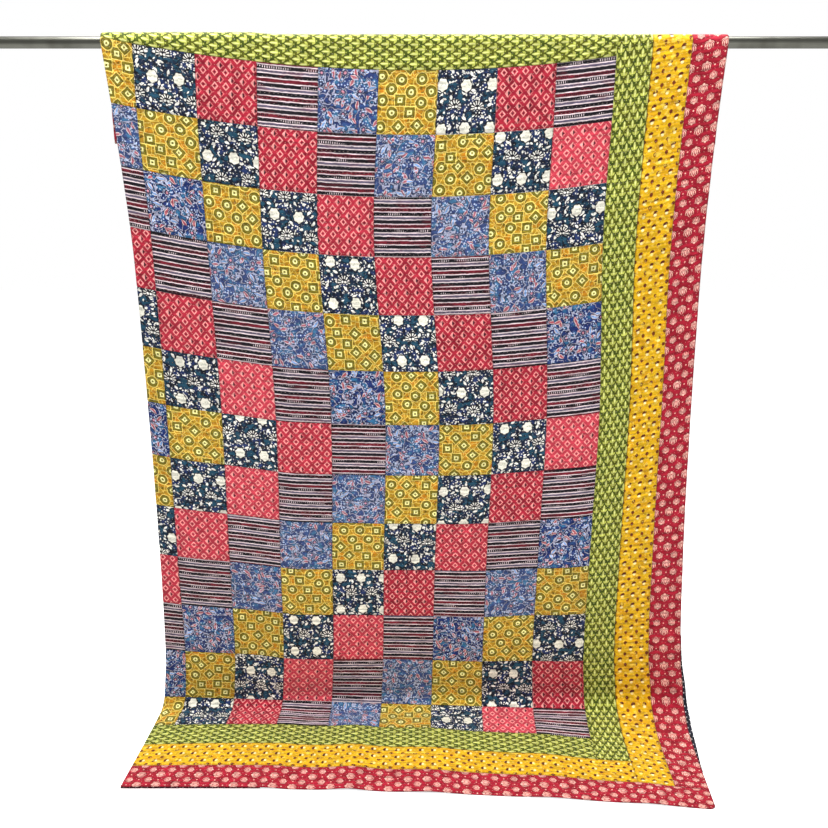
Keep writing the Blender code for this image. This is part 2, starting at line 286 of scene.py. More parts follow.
def waves(x, s):
    """Soft waves of the cloth, away from the rod and up from the floor."""
    hang = sum(depth * np.cos(2 * math.pi * (x - crest) / width)
               for depth, width, crest in HANG_WAVES)
    hang_share = smooth_step((s - WAVES_START) / (WAVES_FULL - WAVES_START))
    to_floor = smooth_step((s - (ROD_HEIGHT - WAVES_END)) / WAVES_END)
    humps = sum(height * np.exp(-((x - place) / half) ** 2) for height, place, half in FLOOR_HUMPS)
    front = smooth_step((s - ROD_HEIGHT) / HUMPS_RUN)
    return hang * hang_share * (1.0 - to_floor) + humps * front


def profile(s):
    """Side view of the innermost layer: place (y, z) and outward direction for a cloth length s."""
    over = np.clip(-s / OVER_ROD, 0.0, math.pi)
    behind = np.minimum(s + math.pi * OVER_ROD, 0.0)
    bend_start = ROD_HEIGHT - FLOOR_BEND - THICKNESS / 2
    bend_end = bend_start + FLOOR_BEND * math.pi / 2
    hung = np.clip(s, 0.0, bend_start)
    turned = np.clip((s - bend_start) / FLOOR_BEND, 0.0, math.pi / 2)
    laid = np.maximum(s - bend_end, 0.0)
    y = ROD_Y - OVER_ROD * np.cos(over) - FLOOR_BEND * (1.0 - np.cos(turned)) - laid
    z = ROD_HEIGHT + OVER_ROD * np.sin(over) + behind - hung - FLOOR_BEND * np.sin(turned)
    out_y = -np.cos(over) * np.cos(turned)
    out_z = np.sin(over) + np.sin(turned)
    return y, z, out_y, out_z


def pucker(u, v, s, depth):
    """Small uneven swells of the quilted cloth, none near the rod or on the floor."""
    total = np.zeros_like(u)
    for k in range(SWELL_COUNT):
        wavelength = SWELL_SHORTEST * SWELL_GROWTH**k
        angle = GOLDEN_ANGLE * k
        phase = 2 * math.pi * (u * math.cos(angle) + v * math.sin(angle)) / wavelength + SWELL_PHASE * k
        total += np.sin(phase) * (wavelength / SWELL_MEAN) ** SWELL_POWER
    from_rod = smooth_step((np.abs(s) - SWELL_START) / SWELL_RUN)
    to_floor = smooth_step((s - (ROD_HEIGHT - WAVES_END)) / WAVES_END)
    doubled = np.where(u < column_seam(FOLDED_COLUMNS), FOLDED_SHARE, 1.0)
    return depth * total / 3 * from_rod * (1.0 - to_floor) * doubled


def middle_surface(u, v, depth):
    """Where flat points lie on the middle of the hung cloth."""
    s = cloth_below_rod(u, v)
    x, lift = across_and_lift(u, s)
    y, z, out_y, out_z = profile(s)
    rise = lift + waves(x, s) + pucker(u, v, s, depth)
    return np.stack([x, y + rise * out_y, z + rise * out_z], axis=-1)


def drape(u, v, w, depth):
    """Carry flat points to where they hang; w is the height over the middle of the cloth."""
    along_u = middle_surface(u + SLOPE_STEP, v, depth) - middle_surface(u - SLOPE_STEP, v, depth)
    along_v = middle_surface(u, v + SLOPE_STEP, depth) - middle_surface(u, v - SLOPE_STEP, depth)
    normal = np.cross(along_v, along_u)
    normal /= np.linalg.norm(normal, axis=-1, keepdims=True)
    return middle_surface(u, v, depth) + normal * w[..., None]


def round_corner(u, v):
    """Draw the square right bottom corner of the quilt in to a round one."""
    inner_u = WIDTH - CORNER_RADIUS
    inner_v = LENGTH - CORNER_RADIUS
    x = (u - inner_u) / CORNER_RADIUS
    y = (v - inner_v) / CORNER_RADIUS
    corner = (x > 0) & (y > 0)
    share = np.where(corner, np.maximum(x, y) / np.maximum(np.hypot(x, y), 1e-9), 1.0)
    return (np.where(corner, inner_u + x * share * CORNER_RADIUS, u),
            np.where(corner, inner_v + y * share * CORNER_RADIUS, v))


def srgb(red, green, blue):
    """Scene-linear colour from everyday 0 to 255 values."""
    shares = [value / 255 for value in (red, green, blue)]
    return tuple(c / 12.92 if c <= 0.04045 else ((c + 0.055) / 1.055) ** 2.4 for c in shares)


def ink(red, green, blue):
    """Colour for a node's socket from everyday 0 to 255 values."""
    return (*srgb(red, green, blue), 1.0)


def length_property(name, description, default):
    return FloatProperty(name=name, description=description, default=default, min=0.0,
                         unit="LENGTH", precision=4)


def color_property(name, description, color):
    return FloatVectorProperty(name=name, description=description, default=srgb(*color), size=3,
                               min=0.0, max=1.0, subtype="COLOR")


class QuiltSizes(bpy.types.PropertyGroup):
    """Sizes of the sewing and of the cloth's fine relief."""

    stitch_rows: length_property(
        "Stitch Rows", "Distance between the rows of running stitch", PATCH / 12)
    stitch_step: length_property(
        "Stitch Step", "Distance from one running stitch to the next", 0.0120)
    stitch_length: length_property(
        "Stitch Length", "Length of one running stitch", 0.0052)
    thread_width: length_property(
        "Thread Width", "Width of the sewing thread", 0.0007)
    ripple_depth: length_property(
        "Ripple Depth", "How far the cloth dips at a row of stitches", 0.0012)
    seam_depth: length_property(
        "Seam Depth", "How far the cloth dips at a seam", 0.0009)
    seam_reach: length_property(
        "Seam Reach", "How far from a seam its dip reaches", 0.0035)
    pucker_depth: length_property(
        "Pucker Depth", "Depth of the uneven swells of the hung cloth", 0.0022)
    face_across: length_property(
        "Face Across", "Size of the mesh faces across the quilt", 0.0135)
    face_down: length_property(
        "Face Down", "Size of the mesh faces along the quilt", PATCH / 32)


class QuiltColors(bpy.types.PropertyGroup):
    """Dye colours of the printed cloths."""

    mustard: color_property("Mustard", "Ground of the medallion patches", (180, 137, 30))
    olive: color_property("Olive", "Dark olive of the medallions", (96, 88, 14))
    cream: color_property("Cream", "Pale rings of the medallions", (246, 240, 160))
    indigo: color_property("Indigo", "Ground of the white flower patches", (20, 32, 58))
    teal: color_property("Teal", "Leaves of the white flower patches", (28, 76, 98))
    white: color_property("White", "White flowers", (240, 238, 230))
    crimson: color_property("Crimson", "Ground of the diamond patches", (180, 34, 56))
    pink: color_property("Pink", "Pale pink of the diamond patches", (242, 158, 154))
    shell: color_property("Shell", "Pale bands of the striped patches", (226, 208, 212))
    maroon: color_property("Maroon", "Dark red bands of the striped patches", (112, 24, 40))
    lavender: color_property("Lavender", "Grey bands of the striped patches", (92, 82, 102))
    black: color_property("Black", "Black bands and dots", (18, 14, 22))
    blue: color_property("Blue", "Ground of the floral patches", (34, 64, 124))
    sky: color_property("Sky", "Light blue of the floral patches", (126, 166, 218))
    rose: color_property("Rose", "Pink scrolls of the floral patches", (206, 138, 152))
    green_ground: color_property("Green Ground", "Ground of the green border", (84, 88, 12))
    lime: color_property("Lime", "Leaves of the green border", (180, 184, 82))
    yellow_ground: color_property("Yellow Ground", "Ground of the yellow border", (222, 174, 14))
    brown: color_property("Brown", "Caps of the yellow border", (92, 34, 14))
    red_ground: color_property("Red Ground", "Ground of the red border", (170, 22, 46))
    blush: color_property("Blush", "Flowers of the red border", (246, 192, 176))
    backing: color_property("Backing", "Ground of the backing cloth", (30, 34, 50))
    thread: color_property("Thread", "Sewing thread", (238, 226, 210))
    metal: color_property("Metal", "Rod", (112, 112, 104))


class QuiltStage(bpy.types.PropertyGroup):
    """Camera and lights."""

    camera_distance: length_property(
        "Camera Distance", "From the camera to the face of the hung cloth", 2.36)
    camera_height: length_property("Camera Height", "From the floor to the camera", 1.616)
    camera_pitch: FloatProperty(
        name="Camera Pitch", description="How far the camera looks down",
        default=math.radians(15), subtype="ANGLE")
    floor_color: color_property("Floor", "Floor", (246, 246, 246))
    key_power: FloatProperty(
        name="Key Light", description="Power of the large light overhead", default=168.0, unit="POWER")
    fill_power: FloatProperty(
        name="Fill Light", description="Power of the light beside the camera", default=13.0, unit="POWER")
    rim_power: FloatProperty(
        name="Rim Light", description="Power of the light above the rod", default=112.0, unit="POWER")
    floor_glow: FloatProperty(
        name="Floor Glow", description="How much the floor is lifted to white for the camera",
        default=0.70, min=0.0)
    sky_strength: FloatProperty(
        name="Sky", description="Strength of the even light all round", default=0.40, min=0.0)


def sizes():
    return bpy.context.scene.quilt_sizes


def color_of(name):
    return (*getattr(bpy.context.scene.quilt_colors, name), 1.0)


class Signal:
    """A value that runs through a node tree; arithmetic on it adds Math nodes."""

    def __init__(self, tree, socket):
        self.tree = tree
        self.socket = socket

    def math(self, operation, *others):
        node = add_node(self.tree, "ShaderNodeMath", operation=operation)
        for socket, value in zip(node.inputs, (self, *others)):
            feed(self.tree, socket, value)
        return Signal(self.tree, node.outputs[0])

    def __add__(self, other):
        return self.math("ADD", other)

    def __sub__(self, other):
        return self.math("SUBTRACT", other)

    def __mul__(self, other):
        return self.math("MULTIPLY", other)

    def __truediv__(self, other):
        return self.math("DIVIDE", other)

    def __abs__(self):
        return self.math("ABSOLUTE")

    def inverse(self):
        return (self * -1.0) + 1.0

    def under(self, limit, soft):
        """1 where the value is under the limit, 0 over it, with a soft edge between."""
        node = add_node(self.tree, "ShaderNodeMapRange", interpolation_type="SMOOTHSTEP")
        bounds = (self, limit - soft, limit + soft, 1.0, 0.0)
        for name, value in zip(("Value", "From Min", "From Max", "To Min", "To Max"), bounds):
            feed(self.tree, node.inputs[name], value)
        return Signal(self.tree, node.outputs["Result"])

    def over(self, limit, soft):
        return self.under(limit, soft).inverse()

    def between(self, low, high, soft):
        return self.over(low, soft) * self.under(high, soft)


def add_node(tree, kind, **settings):
    """Add a node, set out in columns of eight."""
    node = tree.nodes.new(kind)
    count = len(tree.nodes)
    node.location = (220 * (count // 8), -180 * (count % 8))
    for name, value in settings.items():
        setattr(node, name, value)
    return node


def feed(tree, socket, value):
    """Link a signal to a socket, or set the socket to a plain value."""
    if isinstance(value, Signal):
        tree.links.new(value.socket, socket)
    else:
        socket.default_value = value


def either(*masks):
    """1 where any of the masks is 1."""
    result = masks[0]
    for mask in masks[1:]:
        result = result.math("MAXIMUM", mask)
    return result


def paint_over(under, over, mask):
    """Colour over another where the mask is 1."""
    node = add_node(mask.tree, "ShaderNodeMix", data_type="RGBA")
    for index, value in ((0, mask), (6, under), (7, over)):
        feed(mask.tree, node.inputs[index], value)
    return Signal(mask.tree, node.outputs[2])


def brighten(color, value):
    """A colour times a value."""
    node = add_node(value.tree, "ShaderNodeVectorMath", operation="SCALE")
    feed(value.tree, node.inputs[0], color)
    feed(value.tree, node.inputs["Scale"], value)
    return Signal(value.tree, node.outputs["Vector"])


def joined(x, y, z=0.0):
    node = add_node(x.tree, "ShaderNodeCombineXYZ")
    for socket, value in zip(node.inputs, (x, y, z)):
        feed(x.tree, socket, value)
    return Signal(x.tree, node.outputs[0])


def parted(vector):
    node = add_node(vector.tree, "ShaderNodeSeparateXYZ")
    feed(vector.tree, node.inputs[0], vector)
    return Signal(vector.tree, node.outputs[0]), Signal(vector.tree, node.outputs[1])


def noise(x, y, scale, detail=2.0, lane=0.0):
    """Soft noise; another lane gives another pattern of the same kind."""
    node = add_node(x.tree, "ShaderNodeTexNoise", noise_dimensions="3D")
    feed(x.tree, node.inputs["Vector"], joined(x, y, lane))
    feed(x.tree, node.inputs["Scale"], scale)
    feed(x.tree, node.inputs["Detail"], detail)
    return Signal(x.tree, node.outputs["Fac"])


def specks(x, y, scale, feature="F1"):
    """Distance to the nearest of scattered points, or to the edges between their cells."""
    node = add_node(x.tree, "ShaderNodeTexVoronoi", voronoi_dimensions="2D", feature=feature)
    feed(x.tree, node.inputs["Vector"], joined(x, y))
    feed(x.tree, node.inputs["Scale"], scale)
    return Signal(x.tree, node.outputs["Distance"])


def distance(x, y):
    """How far a place is from the middle of its motif."""
    return (x * x + y * y).math("SQRT")


def make_group(name, inputs, outputs, build):
    """A shared node group; build takes its input signals and gives its output signals."""
    tree = bpy.data.node_groups.new(name, "ShaderNodeTree")
    for label, kind, default in inputs:
        socket = tree.interface.new_socket(name=label, in_out="INPUT", socket_type=kind)
        if default is not None:
            socket.default_value = default
    for label, kind in outputs:
        tree.interface.new_socket(name=label, in_out="OUTPUT", socket_type=kind)
    start = add_node(tree, "NodeGroupInput")
    results = build(*(Signal(tree, start.outputs[label]) for label, *_ in inputs))
    end = add_node(tree, "NodeGroupOutput")
    for (label, _), result in zip(outputs, results):
        feed(tree, end.inputs[label], result)
    return tree


def use_group(tree, name, *values):
    """Place a shared group in a tree, and give its outputs as signals."""
    node = add_node(tree, "ShaderNodeGroup", node_tree=bpy.data.node_groups[name])
    for socket, value in zip(node.inputs, values):
        feed(tree, socket, value)
    return [Signal(tree, socket) for socket in node.outputs]


# The shared effects and the prints: sizes are in metres, scales are cycles a metre
FLOAT = "NodeSocketFloat"
VECTOR = "NodeSocketVector"


def build_repeat(x, y, pitch_x, pitch_y, shift_x, shift_y, jitter):
    """One cell of a repeating block: place from the cell's centre, and a random value."""
    x = x - shift_x
    y = y - shift_y
    column = (x / pitch_x).math("FLOOR")
    row = (y / pitch_y).math("FLOOR")
    tree = x.tree
    random = add_node(tree, "ShaderNodeTexWhiteNoise", noise_dimensions="2D")
    feed(tree, random.inputs["Vector"], joined(column, row))
    jitter_x, jitter_y = parted(Signal(tree, random.outputs["Color"]))
    local_x = x - (column + 0.5) * pitch_x + (jitter_x - 0.5) * jitter
    local_y = y - (row + 0.5) * pitch_y + (jitter_y - 0.5) * jitter
    return local_x, local_y, Signal(tree, random.outputs["Value"])


def build_petal(x, y, angle, length, width):
    """Almond leaf from the origin along an angle from +Y: under 1 inside it."""
    along = x * angle.math("SINE") + y * angle.math("COSINE")
    across = abs(x * angle.math("COSINE") - y * angle.math("SINE"))
    t = along / length
    waist = (t * t.inverse()).math("MAXIMUM", 0.01) * width * 2.0
    outside = abs(t - 0.5).math("GREATER_THAN", 0.5) * 9.0
    return (across / waist + outside,)


def build_hand_print(vector, seed, wobble):
    """Uneven registration of a hand-printed block, and its patchy dye."""
    x, y = parted(vector)
    shift_x = (noise(x, y, 70.0, 1.0, 3.1) - 0.5) * wobble
    shift_y = (noise(x, y, 70.0, 1.0, 7.7) - 0.5) * wobble
    patchy = noise(x, y, 22.0, 3.0, 1.3) * 0.36 + 0.82
    grain = noise(x, y, 420.0, 2.0, 5.5) * 0.3 + 0.85
    return x + shift_x, y + shift_y, patchy * grain * (seed * 0.14 + 0.93)


def build_cotton(vector, seam, rows, step):
    """Weave, creases and stitch dimples: a shade made of the weave's own tone and painted shade in the
    dimples, creases and seams, and the height of the surface.
    """
    u, v = parted(vector)
    thread = 2 * math.pi / 0.0011
    weave = (u * thread).math("SINE") * (v * thread).math("SINE")
    slub = noise(u * 0.25, v * 4.0, 300.0, 1.0)
    row = (v - BORDER) / rows
    valley = (row * (2 * math.pi)).math("COSINE") * -0.5 + 0.5
    odd = (row.math("FLOOR") * 0.5).math("FRACT")
    beat = ((u / step + odd) * (2 * math.pi)).math("COSINE") * 0.5 + 0.5
    dimple = valley * valley * (beat * 0.6 + 0.4)
    crease = noise(u, v * 4.0, 30.0, 3.0, 2.2)
    swell = noise(u, v, 26.0, 2.0, 6.1)
    height = weave * 0.03 + slub * 0.04 - dimple * 0.7 + crease * 2.2 + swell * 1.6 - seam * 0.3
    # Painted shade: darker in the stitch dimples, where the cloth dips; the weave and slubs give the
    # thread's own tone
    shade = (weave * 0.03 + slub * 0.10 + 0.95) * (dimple * -0.18 + 1.02)
    # Painted shade and light: darker and lighter along the creases, darker beside the seams
    shade = shade * (crease * 1.7 + 0.15) * (seam * -0.42 + 1.0)
    return shade, height


def make_shared_groups():
    """The effects that several cloths share."""
    make_group(
        "Block Repeat",
        [("X", FLOAT, 0.0), ("Y", FLOAT, 0.0), ("Pitch X", FLOAT, 0.05), ("Pitch Y", FLOAT, 0.05),
         ("Shift X", FLOAT, 0.0), ("Shift Y", FLOAT, 0.0), ("Jitter", FLOAT, 0.0)],
        [("X", FLOAT), ("Y", FLOAT), ("Random", FLOAT)], build_repeat)
    make_group(
        "Petal",
        [("X", FLOAT, 0.0), ("Y", FLOAT, 0.0), ("Angle", FLOAT, 0.0), ("Length", FLOAT, 0.02),
         ("Width", FLOAT, 0.006)],
        [("Inside", FLOAT)], build_petal)
    make_group(
        "Hand Print",
        [("Print", VECTOR, None), ("Seed", FLOAT, 0.5), ("Wobble", FLOAT, 0.003)],
        [("X", FLOAT), ("Y", FLOAT), ("Dye", FLOAT)], build_hand_print)
    # Its Shade output holds the weave's tone and painted shade of the dimples, creases and seams
    make_group(
        "Quilted Cotton",
        [("Flat", VECTOR, None), ("Seam", FLOAT, 0.0), ("Rows", FLOAT, 0.02), ("Step", FLOAT, 0.01)],
        [("Shade", FLOAT), ("Height", FLOAT)], build_cotton)


def repeat(x, y, pitch, shift=(0.0, 0.0), jitter=0.0):
    """Places from the centre of a motif that repeats, and the motif's random value."""
    return use_group(x.tree, "Block Repeat", x, y, *pitch, *shift, jitter)


def half_drop(pitch):
    """Shift of the second of two sets of motifs, which stand between each other."""
    return pitch[0] / 2, pitch[1] / 2


def petal(x, y, angle, length, width):
    """A leaf or petal: under 1 inside it."""
    return use_group(x.tree, "Petal", x, y, angle, length, width)[0]


def paint_mustard(x, y, seed):
    """Golden cloth with olive medallions, each with a pale ring, in a net of fine lines."""
    pitch = (0.0545, 0.0620)
    tone = noise(x, y, 26.0, 3.0, 4.0)
    color = paint_over(color_of("mustard"), ink(198, 126, 18), tone.over(0.56, 0.10))
    fine = noise(x, y, 95.0, 2.0, 9.0)
    color = paint_over(color, ink(112, 88, 16), fine.over(0.60, 0.04))
    net = specks(x, y, 62.0, "DISTANCE_TO_EDGE")
    color = paint_over(color, ink(230, 204, 96), net.under(0.055, 0.03) * 0.85)
    for shift in ((0.0, 0.0), half_drop(pitch)):
        local_x, local_y, random = repeat(x, y, pitch, shift, 0.013)
        round_form = distance(local_x, local_y)
        square = abs(local_x).math("MAXIMUM", abs(local_y)) * 1.08
        diamond = (abs(local_x) + abs(local_y)) * 0.80
        is_square = random.over(0.36, 0.001)
        is_diamond = random.over(0.70, 0.001)
        form = round_form + (square - round_form) * is_square
        form = form + (diamond - form) * is_diamond
        color = paint_over(color, ink(236, 214, 108), form.between(0.0156, 0.0178, 0.0006))
        color = paint_over(color, color_of("olive"), form.under(0.0150, 0.0009) * 0.92)
        color = paint_over(color, ink(140, 130, 34), form.between(0.0098, 0.0112, 0.0006))
        color = paint_over(color, color_of("cream"), form.between(0.0030, 0.0072, 0.0008))
    return color


def paint_navy(x, y, seed):
    """Indigo cloth: rows of white scalloped flowers, half wheels of strokes, leaves and dots."""
    pitch = (0.0700, 0.1130)
    dark = ink(8, 11, 24)
    white = color_of("white")
    cloud = noise(x, y, 32.0, 2.0, 2.0)
    color = paint_over(color_of("indigo"), color_of("teal"), cloud.over(0.55, 0.04) * 0.85)
    color = paint_over(color, ink(34, 54, 104), cloud.under(0.44, 0.03) * 0.8)
    color = paint_over(color, dark, noise(x, y, 75.0, 1.0, 6.0).over(0.56, 0.03) * 0.9)
    for cell, shift, length, share in (
            ((0.0255, 0.0230), (0.0, 0.0), 0.0155, 0.30), ((0.0190, 0.0215), (0.009, 0.010), 0.0095, 0.35)):
        leaf_x, leaf_y, random = repeat(x, y, cell, shift, 0.0110)
        leaf = petal(leaf_x, leaf_y, random * 40.0, length, length * 0.50)
        chosen = random.over(share, 0.001)
        color = paint_over(color, dark, leaf.under(1.5, 0.1) * chosen)
        color = paint_over(color, white, leaf.under(0.95, 0.10) * chosen)
    dots = specks(x, y, 105.0).under(0.20, 0.05) * cloud.under(0.50, 0.03)
    color = paint_over(color, white, dots)
    wheel_x, wheel_y, _ = repeat(x, y, pitch, half_drop(pitch), 0.010)
    wheel = distance(wheel_x, wheel_y)
    open_side = wheel_y.under(0.006, 0.002)
    spokes = (wheel_x.math("ARCTAN2", wheel_y) * 13.0).math("COSINE").over(0.15, 0.25)
    color = paint_over(color, dark, wheel.under(0.0200, 0.001) * open_side)
    strokes = wheel.between(0.0088, 0.0178, 0.0010) * spokes * open_side
    buds = distance(abs(wheel_x) - 0.0042, wheel_y).under(0.0033, 0.0006)
    color = paint_over(color, white, either(strokes, buds))
    local_x, local_y, _ = repeat(x, y, pitch, (0.0, 0.0), 0.006)
    radius = distance(local_x, local_y * 0.90)
    lobes = (local_x.math("ARCTAN2", local_y) * 7.0).math("COSINE") * 0.0011
    color = paint_over(color, dark, radius.under(0.0170, 0.001))
    petals = ink(238, 235, 220)
    color = paint_over(color, petals, (radius - lobes).under(0.0142, 0.0007))
    marks = noise(local_x, local_y, 210.0, 1.0).over(0.60, 0.03) * radius.under(0.0095, 0.001)
    return paint_over(color, ink(186, 188, 168), marks * 0.8)


def paint_red(x, y, seed):
    """Crimson cloth with rows of pink diamonds, open in one row and half filled in the next."""
    pitch = (0.0302, 0.0350)
    tone = noise(x, y, 30.0, 2.0, 4.0)
    color = paint_over(color_of("crimson"), ink(138, 16, 38), tone.over(0.52, 0.10) * 0.8)
    color = paint_over(color, ink(222, 76, 92), seed.over(0.62, 0.25) * 0.5)
    pink = color_of("pink")
    open_x, open_y, _ = repeat(x, y, pitch, (0.0, 0.0), 0.0012)
    diamond = abs(open_x) / 0.0098 + abs(open_y) / 0.0112
    color = paint_over(color, pink, diamond.between(0.58, 0.98, 0.08))
    color = paint_over(color, color_of("black"), diamond.under(0.22, 0.06) * 0.8)
    half_x, half_y, _ = repeat(x, y, pitch, half_drop(pitch), 0.0012)
    full = abs(half_x) / 0.0094 + abs(half_y) / 0.0108
    color = paint_over(color, pink, full.under(1.0, 0.08) * half_x.under(0.0004, 0.0006))
    color = paint_over(color, pink, full.between(0.80, 1.02, 0.08) * 0.6)
    dark = full.under(0.52, 0.08) * half_x.over(-0.0012, 0.0006)
    return paint_over(color, color_of("black"), dark * 0.9)


def paint_striped(x, y, seed):
    """Narrow bands of black, white, lavender, pink and maroon, some of them beaded."""
    widths = (
        ("black", 0.0092), ("shell", 0.0029), ("lavender", 0.0058), ("shell", 0.0029),
        ("black", 0.0092), ("shell", 0.0029), ("maroon", 0.0088), ("shell", 0.0029),
    )
    period = sum(width for _, width in widths)
    ramp = add_node(x.tree, "ShaderNodeValToRGB")
    ramp.color_ramp.interpolation = "CONSTANT"
    stops = ramp.color_ramp.elements
    stops.remove(stops[1])
    start = 0.0
    for name, width in widths:
        stop = stops.new(start / period) if start else stops[0]
        stop.color = color_of(name)
        start += width
    feed(x.tree, ramp.inputs[0], (y / period).math("FRACT"))
    color = Signal(x.tree, ramp.outputs["Color"])
    maroon_middle = sum(width for _, width in widths[:6]) + widths[6][1] / 2
    black_middle = widths[0][1] / 2
    some = noise(x * 0.6, y * 2.0, 30.0, 1.0, 3.0)
    bead_x, bead_y, _ = repeat(x, y, (0.0056, period), (0.0, maroon_middle - period / 2))
    beads = distance(bead_x, bead_y).under(0.0024, 0.0005) * some.over(0.44, 0.03)
    color = paint_over(color, color_of("black"), beads)
    gap_x, gap_y, _ = repeat(x, y, (0.0062, period), (0.0, black_middle - period / 2))
    gaps = abs(gap_x).over(0.0022, 0.0004) * abs(gap_y).under(0.0030, 0.0004) * some.under(0.46, 0.03)
    color = paint_over(color, color_of("shell"), gaps)
    return paint_over(color, color_of("maroon"), noise(x * 0.3, y, 50.0, 2.0, 9.0).over(0.60, 0.06) * 0.3)


def paint_floral(x, y, seed):
    """Blue cloth with rose leaves outlined in cream, beaded rosettes, pale scrolls and dots."""
    deep = ink(16, 24, 62)
    pale = ink(170, 170, 194)
    cloud = noise(x, y, 34.0, 2.0, 1.0)
    color = paint_over(color_of("blue"), ink(26, 44, 104), cloud.over(0.53, 0.04))
    color = paint_over(color, ink(48, 108, 150), cloud.under(0.44, 0.04))
    scroll = noise(x, y, 40.0, 1.0, 5.0)
    color = paint_over(color, deep, abs(scroll - 0.50).under(0.062, 0.010) * 0.9)
    color = paint_over(color, pale, abs(scroll - 0.50).under(0.022, 0.007))
    for cell, shift in (((0.0420, 0.0440), (0.0, 0.0)), ((0.0460, 0.0380), (0.023, 0.019))):
        leaf_x, leaf_y, random = repeat(x, y, cell, shift, 0.0180)
        leaf = petal(leaf_x, leaf_y, random * 40.0, 0.0250, 0.0105)
        color = paint_over(color, deep, leaf.under(1.45, 0.1))
        color = paint_over(color, ink(226, 206, 206), leaf.under(1.0, 0.1))
        color = paint_over(color, ink(176, 84, 94), leaf.under(0.60, 0.12) * random.under(0.7, 0.01))
        color = paint_over(color, color_of("sky"), leaf.under(0.60, 0.12) * random.over(0.7, 0.01))
    rose_x, rose_y, _ = repeat(x, y, (0.0540, 0.0500), (0.012, 0.030), 0.016)
    ring = distance(rose_x, rose_y)
    beads = (rose_x.math("ARCTAN2", rose_y) * 11.0).math("COSINE").over(0.0, 0.3)
    color = paint_over(color, deep, ring.under(0.0108, 0.0008))
    color = paint_over(color, pale, ring.between(0.0066, 0.0098, 0.0006) * beads)
    color = paint_over(color, color_of("rose"), ring.under(0.0036, 0.0006))
    dots = specks(x, y, 120.0).under(0.24, 0.05) * noise(x, y, 36.0, 1.0, 21.0).over(0.48, 0.03)
    color = paint_over(color, ink(186, 202, 230), dots)
    return paint_over(color, ink(96, 112, 138), seed.over(0.60, 0.2) * 0.22)


def paint_green(x, y, seed):
    """Olive cloth with close rows of lime three-lobed leaves."""
    pitch = (0.0238, 0.0396)
    tone = noise(x, y, 30.0, 2.0, 4.0)
    color = paint_over(color_of("green_ground"), ink(66, 80, 12), tone.over(0.5, 0.1))
    for shift in ((0.0, 0.0), half_drop(pitch)):
        local_x, local_y, _ = repeat(x, y, pitch, shift, 0.0012)
        side = abs(local_x)
        base_y = local_y * -1.0 + 0.0105
        lobe = petal(side, base_y, 0.86, 0.0130, 0.0070)
        middle = petal(side, base_y, 0.0, 0.0225, 0.0084)
        leaf = either(lobe.under(0.95, 0.12), middle.under(0.95, 0.12))
        color = paint_over(color, color_of("lime"), leaf)
        color = paint_over(color, ink(228, 232, 150), middle.under(0.34, 0.14))
        bead = distance(local_x, base_y + 0.0030).under(0.0018, 0.0004)
        color = paint_over(color, color_of("lime"), bead)
    return color


def paint_yellow(x, y, seed):
    """Yellow cloth with rows of brown caps over cream crescents, and rows of small drops."""
    pitch = (0.0340, 0.0360)
    tone = noise(x, y, 34.0, 3.0, 4.0)
    color = paint_over(color_of("yellow_ground"), ink(216, 156, 6), tone.over(0.54, 0.08) * 0.8)
    cap_x, cap_y, _ = repeat(x, y, pitch, (0.0, 0.0), 0.0016)
    ground = distance(cap_x * 0.9, cap_y - 0.0046)
    color = paint_over(color, ink(255, 240, 176), ground.under(0.0040, 0.0010))
    slope = cap_y + cap_x * 0.20
    cap = distance(cap_x * 0.90, slope + 0.0006).under(0.0064, 0.0006) * slope.under(0.0012, 0.0008)
    color = paint_over(color, color_of("brown"), cap)
    drop_x, drop_y, _ = repeat(x, y, pitch, half_drop(pitch), 0.0016)
    stem = abs(drop_x).under(0.0014, 0.0005) * abs(drop_y - 0.0052).under(0.0040, 0.0006)
    color = paint_over(color, ink(186, 112, 20), stem)
    drop = distance(drop_x, drop_y * 0.9).under(0.0050, 0.0006)
    color = paint_over(color, ink(112, 48, 14), drop)
    light = noise(x, y, 80.0, 1.0, 8.0).over(0.60, 0.03)
    return paint_over(color, ink(250, 214, 84), light * 0.6)


def lotus(x, y, size, color):
    """Pale lotus over the colour so far: five petals with dark hearts on a small foot."""
    x = x / size
    y = y / size
    side = abs(x)
    base = y + 0.0065
    color = paint_over(color, ink(122, 10, 28), distance(x, y).under(0.0130, 0.0010) * 0.6)
    for angle, length, width in ((1.15, 0.0130, 0.0078), (0.55, 0.0175, 0.0110), (0.0, 0.0195, 0.0124)):
        form = petal(side, base, angle, length, width)
        color = paint_over(color, ink(138, 16, 34), form.under(1.16, 0.08))
        color = paint_over(color, color_of("blush"), form.under(0.98, 0.08))
        color = paint_over(color, ink(176, 50, 62), form.under(0.58, 0.12))
    pistil = petal(side, base - 0.0030, 0.0, 0.0105, 0.0040).under(1.0, 0.1)
    foot = distance(x, base + 0.0016).under(0.0030, 0.0006)
    return paint_over(color, color_of("blush"), either(pistil, foot))


def paint_border_red(x, y, seed):
    """Crimson cloth with pale lotus flowers, those of every other row upside down."""
    pitch = (0.0458, 0.0550)
    tone = noise(x, y, 30.0, 2.0, 4.0)
    color = paint_over(color_of("red_ground"), ink(146, 14, 34), tone.over(0.52, 0.1) * 0.8)
    dot_x, dot_y, _ = repeat(x, y, half_drop(pitch), (pitch[0] / 4, pitch[1] / 4), 0.004)
    color = paint_over(color, color_of("blush"), distance(dot_x, dot_y).under(0.0020, 0.0005))
    local_x, local_y, _ = repeat(x, y, pitch, (0.0, 0.0), 0.0020)
    color = lotus(local_x, local_y * -1.0, 0.92, color)
    local_x, local_y, _ = repeat(x, y, pitch, half_drop(pitch), 0.0020)
    return lotus(local_x, local_y, 1.14, color)


